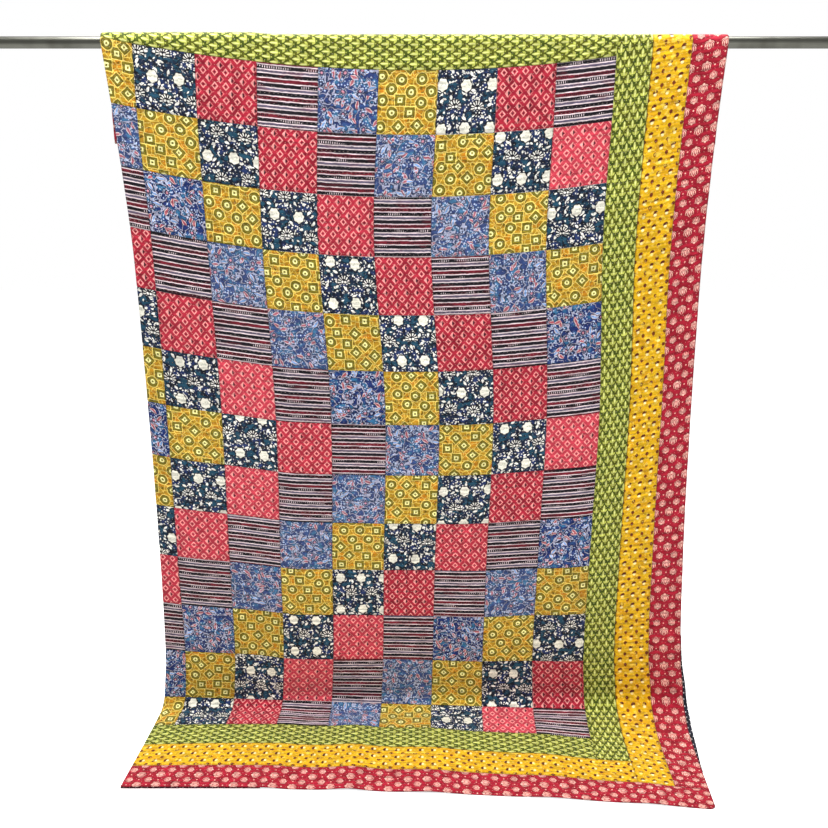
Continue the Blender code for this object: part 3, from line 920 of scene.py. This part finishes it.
def paint_backing(x, y, seed):
    """Dark cloth with small pale spots in rows."""
    color = paint_over(color_of("backing"), ink(18, 22, 34), noise(x, y, 40.0).over(0.5, 0.1))
    for shift in ((0.0, 0.0), (0.0085, 0.0085)):
        spot_x, spot_y, _ = repeat(x, y, (0.0170, 0.0170), shift, 0.0010)
        color = paint_over(color, ink(206, 204, 206), distance(spot_x, spot_y).under(0.0019, 0.0005))
    return color


PAINTS = {
    "mustard": paint_mustard,
    "navy": paint_navy,
    "red": paint_red,
    "striped": paint_striped,
    "floral": paint_floral,
    "green": paint_green,
    "yellow": paint_yellow,
    "border_red": paint_border_red,
    "backing": paint_backing,
}
# How uneven each print's blocks lie, in metres
WOBBLE = {"mustard": 0.0050, "navy": 0.0050, "striped": 0.0028, "floral": 0.0060}
PLAIN_WOBBLE = 0.0024


def attribute(tree, name):
    node = add_node(tree, "ShaderNodeAttribute", attribute_name=name)
    return Signal(tree, node.outputs["Fac"])


def uv_map(tree, name):
    node = add_node(tree, "ShaderNodeUVMap", uv_map=name)
    return Signal(tree, node.outputs[0])


def new_material(name):
    """A new material, its node tree and its surface shader."""
    material = bpy.data.materials.new(name)
    material.use_nodes = True
    return material, material.node_tree, material.node_tree.nodes["Principled BSDF"]


def raise_surface(tree, shader, height, strength, depth):
    """Let a height signal raise the surface."""
    bump = add_node(tree, "ShaderNodeBump")
    bump.inputs["Strength"].default_value = strength
    bump.inputs["Distance"].default_value = depth
    feed(tree, bump.inputs["Height"], height)
    tree.links.new(bump.outputs["Normal"], shader.inputs["Normal"])


def cloth_material(key):
    """Printed cotton: its print, dye and weave, with painted shade in the stitch dimples, creases and seams.
    """
    name = f"{key}_print"
    if name in bpy.data.materials:
        return bpy.data.materials[name]
    material, tree, shader = new_material(name)
    seed = attribute(tree, "Patch")
    wobble = WOBBLE.get(key, PLAIN_WOBBLE)
    x, y, dye = use_group(tree, "Hand Print", uv_map(tree, "Print"), seed, wobble)
    color = PAINTS[key](x, y, seed)
    shade, height = use_group(
        tree, "Quilted Cotton", uv_map(tree, "Flat"), attribute(tree, "Seam"),
        sizes().stitch_rows, sizes().stitch_step)
    # The base colour carries the painted shade of the dimples, creases and seams
    feed(tree, shader.inputs["Base Color"], brighten(color, dye * shade))
    feed(tree, shader.inputs["Roughness"], shade * -0.2 + 1.05)
    raise_surface(tree, shader, height, 0.8, sizes().ripple_depth)
    shader.inputs["Specular IOR Level"].default_value = 0.22
    shader.inputs["Sheen Weight"].default_value = 0.12
    shader.inputs["Sheen Roughness"].default_value = 0.5
    return material


def thread_material():
    """Cream cotton thread, twisted and a little uneven."""
    material, tree, shader = new_material("thread_cotton")
    x, y = parted(uv_map(tree, "Flat"))
    twist = ((x * 0.7 + y) * (2 * math.pi / 0.0012)).math("SINE")
    uneven = noise(x, y, 55.0, 2.0)
    color = paint_over(color_of("thread"), ink(206, 188, 170), uneven.over(0.5, 0.2))
    feed(tree, shader.inputs["Base Color"], brighten(color, twist * 0.08 + 0.94))
    raise_surface(tree, shader, twist, 0.3, 0.0002)
    shader.inputs["Roughness"].default_value = 0.8
    return material


def metal_material():
    """Drawn metal with fine lines along it, small scratches and handling marks."""
    material, tree, shader = new_material("rod_satin_metal")
    coordinates = add_node(tree, "ShaderNodeTexCoord")
    stretch = add_node(tree, "ShaderNodeMapping")
    stretch.inputs["Scale"].default_value = (3.0, 160.0, 160.0)
    tree.links.new(coordinates.outputs["Object"], stretch.inputs["Vector"])
    lines = add_node(tree, "ShaderNodeTexNoise")
    lines.inputs["Scale"].default_value = 6.0
    lines.inputs["Detail"].default_value = 4.0
    tree.links.new(stretch.outputs["Vector"], lines.inputs["Vector"])
    marks = add_node(tree, "ShaderNodeTexNoise")
    marks.inputs["Scale"].default_value = 9.0
    tree.links.new(coordinates.outputs["Object"], marks.inputs["Vector"])
    drawn = Signal(tree, lines.outputs["Fac"])
    worn = Signal(tree, marks.outputs["Fac"]).over(0.55, 0.1)
    color = paint_over(color_of("metal"), ink(82, 82, 74), worn * 0.8)
    feed(tree, shader.inputs["Base Color"], brighten(color, drawn * 0.3 + 0.85))
    feed(tree, shader.inputs["Roughness"], drawn * 0.16 + worn * 0.08 + 0.22)
    raise_surface(tree, shader, drawn, 0.08, 0.0003)
    shader.inputs["Metallic"].default_value = 1.0
    return material


def split(start, end, size, seam_at_start=True, seam_at_end=True):
    """Places from start up to end, end left out, with two close lines beside each seam."""
    near = [sizes().seam_reach * share for share in SEAM_LINES]
    head = [start] + [start + d for d in near if seam_at_start]
    tail = [end - d for d in reversed(near) if seam_at_end]
    inner_end = tail[0] if tail else end
    count = max(1, round((inner_end - head[-1]) / size))
    inner = [head[-1] + (inner_end - head[-1]) * k / count for k in range(1, count)]
    return head + inner + tail


def fold_lines(v):
    """Lines across the column that is folded, close together round the turn, one array each."""
    s = cloth_below_rod(np.full_like(v, column_seam(0.25)), v)
    _, tip = left_turn(*column_lines(s)[:2])
    half = math.pi * LAYER_STEP / 4 + TURN_MARGIN
    start, end = column_seam(0), column_seam(1)
    near = [sizes().seam_reach * share for share in SEAM_LINES]
    first, last = start + near[-1], end - near[-1]
    lines = [np.full_like(v, start + d) for d in (0.0, *near)]
    lines += [first + (tip - half - first) * k / UNDER_FACES for k in range(1, UNDER_FACES)]
    lines += [tip + half * (2 * k / TURN_FACES - 1) for k in range(TURN_FACES + 1)]
    lines += [tip + half + (last - tip - half) * k / OUTER_FACES for k in range(1, OUTER_FACES)]
    lines += [np.full_like(v, end - d) for d in reversed(near)]
    return lines


class Panel:
    """A flat piece of cloth: its tiles, seams and grid of points."""

    def __init__(self, name, columns, rows, seams_across, seams_down):
        self.name = name
        self.columns = columns
        self.rows = rows
        self.seams_across = seams_across
        self.seams_down = seams_down

    def grid(self):
        """Flat points u and v as grids, and each face's tile across and down."""
        tiles_down, tile_of_row = [], []
        for j, (start, end) in enumerate(zip(self.rows, self.rows[1:])):
            places = split(
                start, end, sizes().face_down, start in self.seams_down, end in self.seams_down)
            tiles_down += places
            tile_of_row += [j] * len(places)
        v = np.array(tiles_down + [self.rows[-1]])
        lines, tile_of_column = [], []
        for i, (start, end) in enumerate(zip(self.columns, self.columns[1:])):
            if start == column_seam(0) and end == column_seam(1):
                places = fold_lines(v)
            else:
                places = split(
                    start, end, sizes().face_across, start in self.seams_across, end in self.seams_across)
                places = [np.full_like(v, place) for place in places]
            lines += places
            tile_of_column += [i] * len(places)
        lines.append(np.full_like(v, self.columns[-1]))
        u = np.stack(lines, axis=1)
        v = np.repeat(v[:, None], u.shape[1], axis=1)
        return u, v, np.array(tile_of_column), np.array(tile_of_row)

    def seam_share(self, u, v):
        """1 on a seam, falling away beside it."""
        nearest = np.full_like(u, 1.0)
        for seam in self.seams_across:
            nearest = np.minimum(nearest, np.abs(u - seam))
        for seam in self.seams_down:
            nearest = np.minimum(nearest, np.abs(v - seam))
        return np.exp(-((nearest / sizes().seam_reach) ** 2) * 2)


def quad_grid(rows, columns, first):
    """Corner numbers of a grid of faces, first corner number given."""
    row, column = np.meshgrid(np.arange(rows - 1), np.arange(columns - 1), indexing="ij")
    a = first + row * columns + column
    return np.stack([a, a + columns, a + columns + 1, a + 1], axis=-1).reshape(-1, 4)


def rim_faces(rows, columns, count):
    """Faces round the edge that join the front grid to the back grid, and their front faces."""
    last_row, last_column = rows - 1, columns - 1
    down = np.arange(last_row)
    across = np.arange(last_column)
    bottom, right = last_row * columns, last_column
    sides = [
        (across, across + 1, across),
        (bottom + across + 1, bottom + across, (last_row - 1) * last_column + across),
        ((down + 1) * columns, down * columns, down * last_column),
        (down * columns + right, (down + 1) * columns + right, (down + 1) * last_column - 1),
    ]
    faces = [np.stack([start, end, end + count, start + count], axis=-1) for start, end, _ in sides]
    return np.concatenate(faces), np.concatenate([owner for *_, owner in sides])


def bake_places(u, v, tile, tiles_across, panel, back):
    """Flat layout of a panel's tiles, front and back, in one square."""
    tiles_down = len(panel.rows) - 1
    count = 2 * tiles_across * tiles_down
    across = math.ceil(math.sqrt(count))
    down = math.ceil(count / across)
    column, row = tile % tiles_across, tile // tiles_across
    left = np.array(panel.columns)[column]
    right = np.array(panel.columns)[column + 1]
    top = np.array(panel.rows)[row]
    bottom = np.array(panel.rows)[row + 1]
    index = tile + np.where(back, tiles_across * tiles_down, 0)
    size = 1.0 - 2 * BAKE_MARGIN
    share_u = np.clip((u - left) / (right - left), 0.0, 1.0) * size + BAKE_MARGIN
    share_v = np.clip((v - top) / (bottom - top), 0.0, 1.0) * size + BAKE_MARGIN
    return np.stack([(index % across + share_u) / across, (index // across + share_v) / down], axis=-1)


def place_object(name, data):
    """Put a mesh, light or camera in the scene."""
    obj = bpy.data.objects.new(name, data)
    bpy.context.scene.collection.objects.link(obj)
    return obj


def sew_panel(panel, cloths, prints):
    """Build a draped panel: front, back and rim.

    Each tile has a cloth for its front, and a print: shift across, shift along, dye, and whether
    the print is turned to run along the strip.
    """
    u, v, tile_of_column, tile_of_row = panel.grid()
    inset = SEAM_GAP / 2
    flat_u = np.clip(u, panel.columns[0] + inset, panel.columns[-1] - inset)
    flat_v = np.clip(v, panel.rows[0] + inset, panel.rows[-1] - inset)
    flat_u, flat_v = round_corner(flat_u, flat_v)
    seam = panel.seam_share(u, v)
    face = -sizes().seam_depth * seam
    front = drape(flat_u, flat_v, THICKNESS / 2 + face, sizes().pucker_depth)
    back = drape(flat_u, flat_v, -THICKNESS / 2 - face * BACK_SEAM_SHARE, sizes().pucker_depth)
    rows, columns = u.shape
    count = rows * columns
    front_faces = quad_grid(rows, columns, 0)
    back_faces = quad_grid(rows, columns, count)[:, ::-1]
    edge_faces, edge_owner = rim_faces(rows, columns, count)
    faces = np.concatenate([front_faces, back_faces, edge_faces])
    mesh = bpy.data.meshes.new(panel.name)
    mesh.from_pydata(np.concatenate([front.reshape(-1, 3), back.reshape(-1, 3)]), [], faces)

    tiles_across = len(panel.columns) - 1
    tile = (tile_of_row[:, None] * tiles_across + tile_of_column[None, :]).ravel()
    tile = np.concatenate([tile, tile, tile[edge_owner]])
    is_back = np.zeros(len(faces), dtype=bool)
    is_back[len(front_faces):2 * len(front_faces)] = True
    keys = sorted(set(cloths) - {"backing"}) + ["backing"]
    for key in keys:
        mesh.materials.append(cloth_material(key))
    key_of_tile = np.array([keys.index(cloth) for cloth in cloths])
    mesh.polygons.foreach_set("material_index", np.where(is_back, len(keys) - 1, key_of_tile[tile]))

    corner = faces.ravel() % count
    corner_u, corner_v = u.ravel()[corner], v.ravel()[corner]
    corner_tile = np.repeat(tile, 4)
    corner_back = np.repeat(is_back, 4)
    across, along, dyes, turned = np.array(prints).T
    turn = turned[corner_tile] > 0
    print_x = np.where(turn, corner_v, corner_u) + across[corner_tile]
    print_y = np.where(turn, corner_u, corner_v) + along[corner_tile]
    print_x = np.where(corner_back, corner_u, print_x)
    print_y = np.where(corner_back, corner_v, print_y)
    add_uv(mesh, "Print", np.stack([print_x, print_y], axis=-1))
    add_uv(mesh, "Flat", np.stack([corner_u, corner_v], axis=-1))
    add_uv(mesh, "OFBake", bake_places(corner_u, corner_v, corner_tile, tiles_across, panel, corner_back))
    patch = mesh.attributes.new("Patch", "FLOAT", "FACE")
    patch.data.foreach_set("value", dyes[tile].astype(np.float32))
    seams = mesh.attributes.new("Seam", "FLOAT", "POINT")
    seams.data.foreach_set("value", np.tile(seam.ravel(), 2).astype(np.float32))
    mesh.update()
    mesh.validate()
    mesh.shade_smooth()
    mesh.set_sharp_from_angle(angle=SHARP_ANGLE)
    return place_object(panel.name, mesh)


def add_uv(mesh, name, places):
    layer = mesh.uv_layers.new(name=name)
    layer.data.foreach_set("uv", places.astype(np.float32).ravel())


def settle_piece(obj, node, width, length):
    """Make a cloth ride on the frame in place of its plain solid."""
    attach(obj, "root")
    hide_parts(node)


def patch_print(row, column):
    """The print of a patch, rows and columns counted from 1."""
    middle_distance = min(row, FULL_ROWS + 2 - row)
    return PRINT_ORDER[(column - middle_distance) % len(PRINT_ORDER)]


def scatter(*numbers):
    """A number from 0 to 1 that looks random but is the same each time."""
    total = sum(number * weight for number, weight in zip(numbers, SCATTER_WEIGHTS))
    return math.sin(total) * SCATTER_SCALE % 1.0


class QUILT_OT_patch_rows(bpy.types.Operator):
    """Sew the thirteen rows of nine printed patches"""

    bl_idname = "quilt.patch_rows"
    bl_label = "Patch Rows"

    def execute(self, context):
        for row in range(1, FULL_ROWS + 2):
            start, end = row_seam(row - 1), row_seam(row)
            seams = [column_seam(column) for column in range(COLUMNS + 1)]
            panel = Panel(f"patch_row_{row:02d}", seams, [start, end], seams, [start, end])
            cloths = [patch_print(row, column + 1) for column in range(COLUMNS)]
            prints = [
                (PATCH_SHIFT * scatter(row, column, 1), PATCH_SHIFT * scatter(row, column, 2),
                 scatter(row, column, 3), False)
                for column in range(COLUMNS)
            ]
            obj = sew_panel(panel, cloths, prints)
            settle_piece(obj, "field", COLUMNS * PATCH, end - start)
        return {"FINISHED"}


def border_cuts(start, width, across_full):
    """The four strips of one border: left, right, top and bottom of each on the flat quilt."""
    inner = start + width
    side = start if across_full else inner
    upright = inner if across_full else start
    return {
        "top": (side, WIDTH - side, start, inner),
        "bottom": (side, WIDTH - side, LENGTH - inner, LENGTH - start),
        "left": (start, inner, upright, LENGTH - upright),
        "right": (WIDTH - inner, WIDTH - start, upright, LENGTH - upright),
    }


def even_places(start, end, size):
    count = max(1, round((end - start) / size))
    return [start + (end - start) * k / count for k in range(count)]


def sew_border(color, key, start, width, across_full):
    """Sew the four strips of one border."""
    for place, (left, right, top, bottom) in border_cuts(start, width, across_full).items():
        along = place in ("top", "bottom")
        if along:
            columns = even_places(left, BORDER, PATCH) + [column_seam(c) for c in range(COLUMNS)]
            columns += even_places(WIDTH - BORDER, right, PATCH) + [right]
            rows = [top, bottom]
        else:
            columns = [left, right]
            rows = even_places(top, bottom, PATCH) + [bottom]
        panel = Panel(f"{color}_border_{place}", columns, rows, [left, right], [top, bottom])
        shift = STRIP_SHIFT * scatter(start, width, len(place))
        tiles = (len(columns) - 1) * (len(rows) - 1)
        prints = [(-top if along else -left, shift, MIDDLE_DYE, along)] * tiles
        obj = sew_panel(panel, [key] * tiles, prints)
        settle_piece(obj, f"{color}_{place}", right - left, bottom - top)


class QUILT_OT_green_border(bpy.types.Operator):
    """Sew the inner border of olive cloth with lime leaves"""

    bl_idname = "quilt.green_border"
    bl_label = "Green Border"

    def execute(self, context):
        sew_border("green", "green", GREEN_START, GREEN, False)
        return {"FINISHED"}


class QUILT_OT_yellow_border(bpy.types.Operator):
    """Sew the middle border of yellow cloth with brown caps"""

    bl_idname = "quilt.yellow_border"
    bl_label = "Yellow Border"

    def execute(self, context):
        sew_border("yellow", "yellow", YELLOW_START, YELLOW, False)
        return {"FINISHED"}


class QUILT_OT_red_border(bpy.types.Operator):
    """Sew the outer border of crimson cloth with pale flowers"""

    bl_idname = "quilt.red_border"
    bl_label = "Red Border"

    def execute(self, context):
        sew_border("red", "border_red", 0.0, RED, True)
        return {"FINISHED"}


class HemPanel(Panel):
    """The sliver of backing that turns out past the right edge, widest low down."""

    def grid(self):
        u, v, tile_of_column, tile_of_row = super().grid()
        top, widest, bottom = (row_seam(rows) for rows in HEM_ROWS)
        swell = np.minimum((v - top) / (widest - top), (bottom - v) / (bottom - widest))
        width = HEM_END + (HEM_WIDTH - HEM_END) * smooth_step(swell)
        share = (u - WIDTH) / HEM_WIDTH
        return WIDTH + share * width, v, tile_of_column, tile_of_row


class QUILT_OT_backing_hem(bpy.types.Operator):
    """Turn out the sliver of dark backing at the lower right edge"""

    bl_idname = "quilt.backing_hem"
    bl_label = "Backing Hem"

    def execute(self, context):
        top, _, bottom = (row_seam(rows) for rows in HEM_ROWS)
        rows = even_places(top, bottom, PATCH / 2) + [bottom]
        panel = HemPanel("backing_hem_turned", [WIDTH, WIDTH + HEM_WIDTH], rows, [WIDTH], [top, bottom])
        tiles = len(rows) - 1
        obj = sew_panel(panel, ["backing"] * tiles, [(0.0, 0.0, MIDDLE_DYE, False)] * tiles)
        area = (bottom - top) * ((HEM_END + HEM_WIDTH) / 2 + THICKNESS)
        width = HEM_WIDTH + THICKNESS
        settle_piece(obj, "backing_hem", width, bottom - top)
        return {"FINISHED"}


def stitch_places(left, right, top, bottom):
    """Flat places of the running stitches on one stretch of cloth."""
    rows, step = sizes().stitch_rows, sizes().stitch_step
    first = math.ceil((top - BORDER) / rows - 0.5)
    last = math.floor((bottom - BORDER) / rows - 0.5)
    places_u, places_v = [], []
    for row in range(first, last + 1):
        v = BORDER + (row + 0.5) * rows
        if min(v - top, bottom - v) < sizes().seam_reach:
            continue
        shift = 0.5 if row % 2 == 0 else 0.0
        count = np.arange(math.ceil(left / step), math.floor(right / step) + 1)
        u = (count - shift) * step
        u = u[(u > left + sizes().stitch_length) & (u < right - sizes().stitch_length)]
        places_u.append(u)
        places_v.append(np.full_like(u, v))
    return np.concatenate(places_u), np.concatenate(places_v)


def sew_stitches(name, stretches, side):
    """Short threads that lie in the rows of dimples, on the front (side 1) or back (side -1)."""
    placed = [stitch_places(*stretch) for stretch in stretches]
    u = np.concatenate([item[0] for item in placed])
    v = np.concatenate([item[1] for item in placed])
    v = v + STITCH_WANDER * np.sin(u * 91.0 + v * 57.0)
    half = sizes().stitch_length / 2 * (1.0 + STITCH_SPREAD * np.sin(u * 373.0 + v * 211.0))
    width = sizes().thread_width / 2
    base = THICKNESS / 2
    points = [(u - half, v, base - STITCH_DIP), (u + half, v, base - STITCH_DIP)]
    for k in range(STITCH_RING):
        angle = 2 * math.pi * k / STITCH_RING
        points.append((u, v + width * math.sin(angle), base + STITCH_DIP + width * math.cos(angle)))
    flat_u, flat_v, flat_w = (
        np.stack([np.broadcast_to(value, u.shape) for value in values], axis=1) for values in zip(*points))
    places = drape(flat_u, flat_v, flat_w * side, sizes().pucker_depth)
    first = np.arange(len(u))[:, None] * len(points)
    corners = []
    for k in range(STITCH_RING):
        a, b = 2 + k, 2 + (k + 1) % STITCH_RING
        corners += [(0, b, a), (1, a, b)]
    corners = np.array(corners)[:, ::side]
    faces = (first[:, :, None] + corners[None]).reshape(-1, 3)
    mesh = bpy.data.meshes.new(name)
    mesh.from_pydata(places.reshape(-1, 3), [], faces)
    flat = np.stack([flat_u.ravel(), flat_v.ravel()], axis=-1)[faces.ravel()]
    add_uv(mesh, "Flat", flat)
    mesh.update()
    mesh.shade_smooth()
    obj = place_object(name, mesh)
    if "thread_cotton" not in bpy.data.materials:
        thread_material()
    mesh.materials.append(bpy.data.materials["thread_cotton"])
    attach(obj, "root")
    return obj


class QUILT_OT_running_stitch(bpy.types.Operator):
    """Sew the rows of running stitch through patches and borders"""

    bl_idname = "quilt.running_stitch"
    bl_label = "Running Stitch"

    def execute(self, context):
        rows = [(column_seam(0), column_seam(COLUMNS), row_seam(row), row_seam(row + 1))
                for row in range(FULL_ROWS + 1)]
        strips = []
        for start, width, across_full in (
                (GREEN_START, GREEN, False), (YELLOW_START, YELLOW, False), (0.0, RED, True)):
            strips += border_cuts(start, width, across_full).values()
        for side, place in ((1, "front"), (-1, "back")):
            stitches = sew_stitches(f"patch_stitches_{place}", rows, side)
            stitches = sew_stitches(f"border_stitches_{place}", strips, side)
        return {"FINISHED"}


class QUILT_OT_rod_finish(bpy.types.Operator):
    """Give the rod its drawn metal finish"""

    bl_idname = "quilt.rod_finish"
    bl_label = "Rod Finish"

    def execute(self, context):
        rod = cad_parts["rod"]
        material = metal_material()
        for slot in rod.material_slots:
            slot.material = material
        return {"FINISHED"}


def area_light(name, power, size, location, target):
    """A soft light turned to its target, itself unseen by the camera."""
    light = bpy.data.lights.new(name, "AREA")
    light.energy = power
    light.shape = "RECTANGLE"
    light.size, light.size_y = size
    obj = place_object(name, light)
    obj.location = location
    obj.rotation_mode = "QUATERNION"
    obj.rotation_quaternion = (Vector(target) - Vector(location)).to_track_quat("-Z", "Y")
    obj.visible_camera = False


def lay_floor(settings):
    """Plain pale floor all round, lifted to white where the camera sees it."""
    signs = ((-1, -1), (1, -1), (1, 1), (-1, 1))
    mesh = bpy.data.meshes.new("floor")
    mesh.from_pydata([(x * FLOOR_REACH, y * FLOOR_REACH, -FLOOR_DROP) for x, y in signs], [], [(0, 1, 2, 3)])
    obj = place_object("floor", mesh)
    material, tree, shader = new_material("floor_paper")
    coordinates = add_node(tree, "ShaderNodeTexCoord")
    x, y = parted(Signal(tree, coordinates.outputs["Object"]))
    feed(tree, shader.inputs["Base Color"],
         brighten(tuple(settings.floor_color), noise(x, y, 3.0) * 0.02 + 0.99))
    shader.inputs["Roughness"].default_value = 0.95
    seen = Signal(tree, add_node(tree, "ShaderNodeLightPath").outputs["Is Camera Ray"])
    feed(tree, shader.inputs["Emission Color"], brighten(WHITE[:3], seen))
    shader.inputs["Emission Strength"].default_value = settings.floor_glow
    mesh.materials.append(material)


def light_world(settings):
    """Even soft light all round, which the camera sees as plain white."""
    world = bpy.data.worlds.new("studio")
    world.use_nodes = True
    tree = world.node_tree
    soft = tree.nodes["Background"]
    soft.inputs["Color"].default_value = WHITE
    soft.inputs["Strength"].default_value = settings.sky_strength
    white = add_node(tree, "ShaderNodeBackground")
    white.inputs["Color"].default_value = WHITE
    white.inputs["Strength"].default_value = 1.0
    choice = add_node(tree, "ShaderNodeMixShader")
    seen = add_node(tree, "ShaderNodeLightPath").outputs["Is Camera Ray"]
    tree.links.new(seen, choice.inputs[0])
    tree.links.new(soft.outputs[0], choice.inputs[1])
    tree.links.new(white.outputs[0], choice.inputs[2])
    tree.links.new(choice.outputs[0], tree.nodes["World Output"].inputs["Surface"])
    bpy.context.scene.world = world


class QUILT_OT_stage(bpy.types.Operator):
    """Set the floor, the soft lights and the camera"""

    bl_idname = "quilt.stage"
    bl_label = "Stage"

    def execute(self, context):
        scene = context.scene
        settings = scene.quilt_stage
        lay_floor(settings)
        light_world(settings)
        for name, (size, location, target) in LIGHTS.items():
            area_light(name, getattr(settings, f"{name}_power"), size, location, target)
        camera = bpy.data.cameras.new("camera")
        camera.lens = FOCAL_LENGTH
        camera.sensor_width = SENSOR_WIDTH
        camera.clip_start = NEAR_CLIP
        obj = place_object("camera", camera)
        obj.location = (0.0, FACE_Y - settings.camera_distance, settings.camera_height)
        obj.rotation_euler = (math.pi / 2 - settings.camera_pitch, 0.0, 0.0)
        scene.camera = obj
        scene.view_settings.view_transform = "Standard"
        return {"FINISHED"}


class QUILT_PT_panel(bpy.types.Panel):
    """Lists the quilt's pieces in the sidebar"""

    bl_label = "Patchwork Quilt"
    bl_idname = "QUILT_PT_panel"
    bl_space_type = "VIEW_3D"
    bl_region_type = "UI"
    bl_category = "Quilt"

    def draw(self, context):
        for operator in OPERATORS:
            self.layout.operator(operator.bl_idname)
        for group in ("quilt_sizes", "quilt_colors", "quilt_stage"):
            settings = getattr(context.scene, group)
            box = self.layout.box()
            for name in settings.__annotations__:
                box.prop(settings, name)


GROUPS = {"quilt_sizes": QuiltSizes, "quilt_colors": QuiltColors, "quilt_stage": QuiltStage}
OPERATORS = (
    QUILT_OT_patch_rows,
    QUILT_OT_green_border,
    QUILT_OT_yellow_border,
    QUILT_OT_red_border,
    QUILT_OT_backing_hem,
    QUILT_OT_running_stitch,
    QUILT_OT_rod_finish,
    QUILT_OT_stage,
)


def register():
    for name, group in GROUPS.items():
        bpy.utils.register_class(group)
        setattr(bpy.types.Scene, name, PointerProperty(type=group))
    for operator in OPERATORS:
        bpy.utils.register_class(operator)
    bpy.utils.register_class(QUILT_PT_panel)


def unregister():
    bpy.utils.unregister_class(QUILT_PT_panel)
    for operator in reversed(OPERATORS):
        bpy.utils.unregister_class(operator)
    for name, group in GROUPS.items():
        delattr(bpy.types.Scene, name)
        bpy.utils.unregister_class(group)


def write_sizes():
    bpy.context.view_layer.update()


def main():
    register()
    make_shared_groups()
    bpy.ops.quilt.patch_rows()
    bpy.ops.quilt.green_border()
    bpy.ops.quilt.yellow_border()
    bpy.ops.quilt.red_border()
    bpy.ops.quilt.backing_hem()
    bpy.ops.quilt.running_stitch()
    bpy.ops.quilt.rod_finish()
    bpy.ops.quilt.stage()
    write_sizes()


if __name__ == "__main__":
    main()
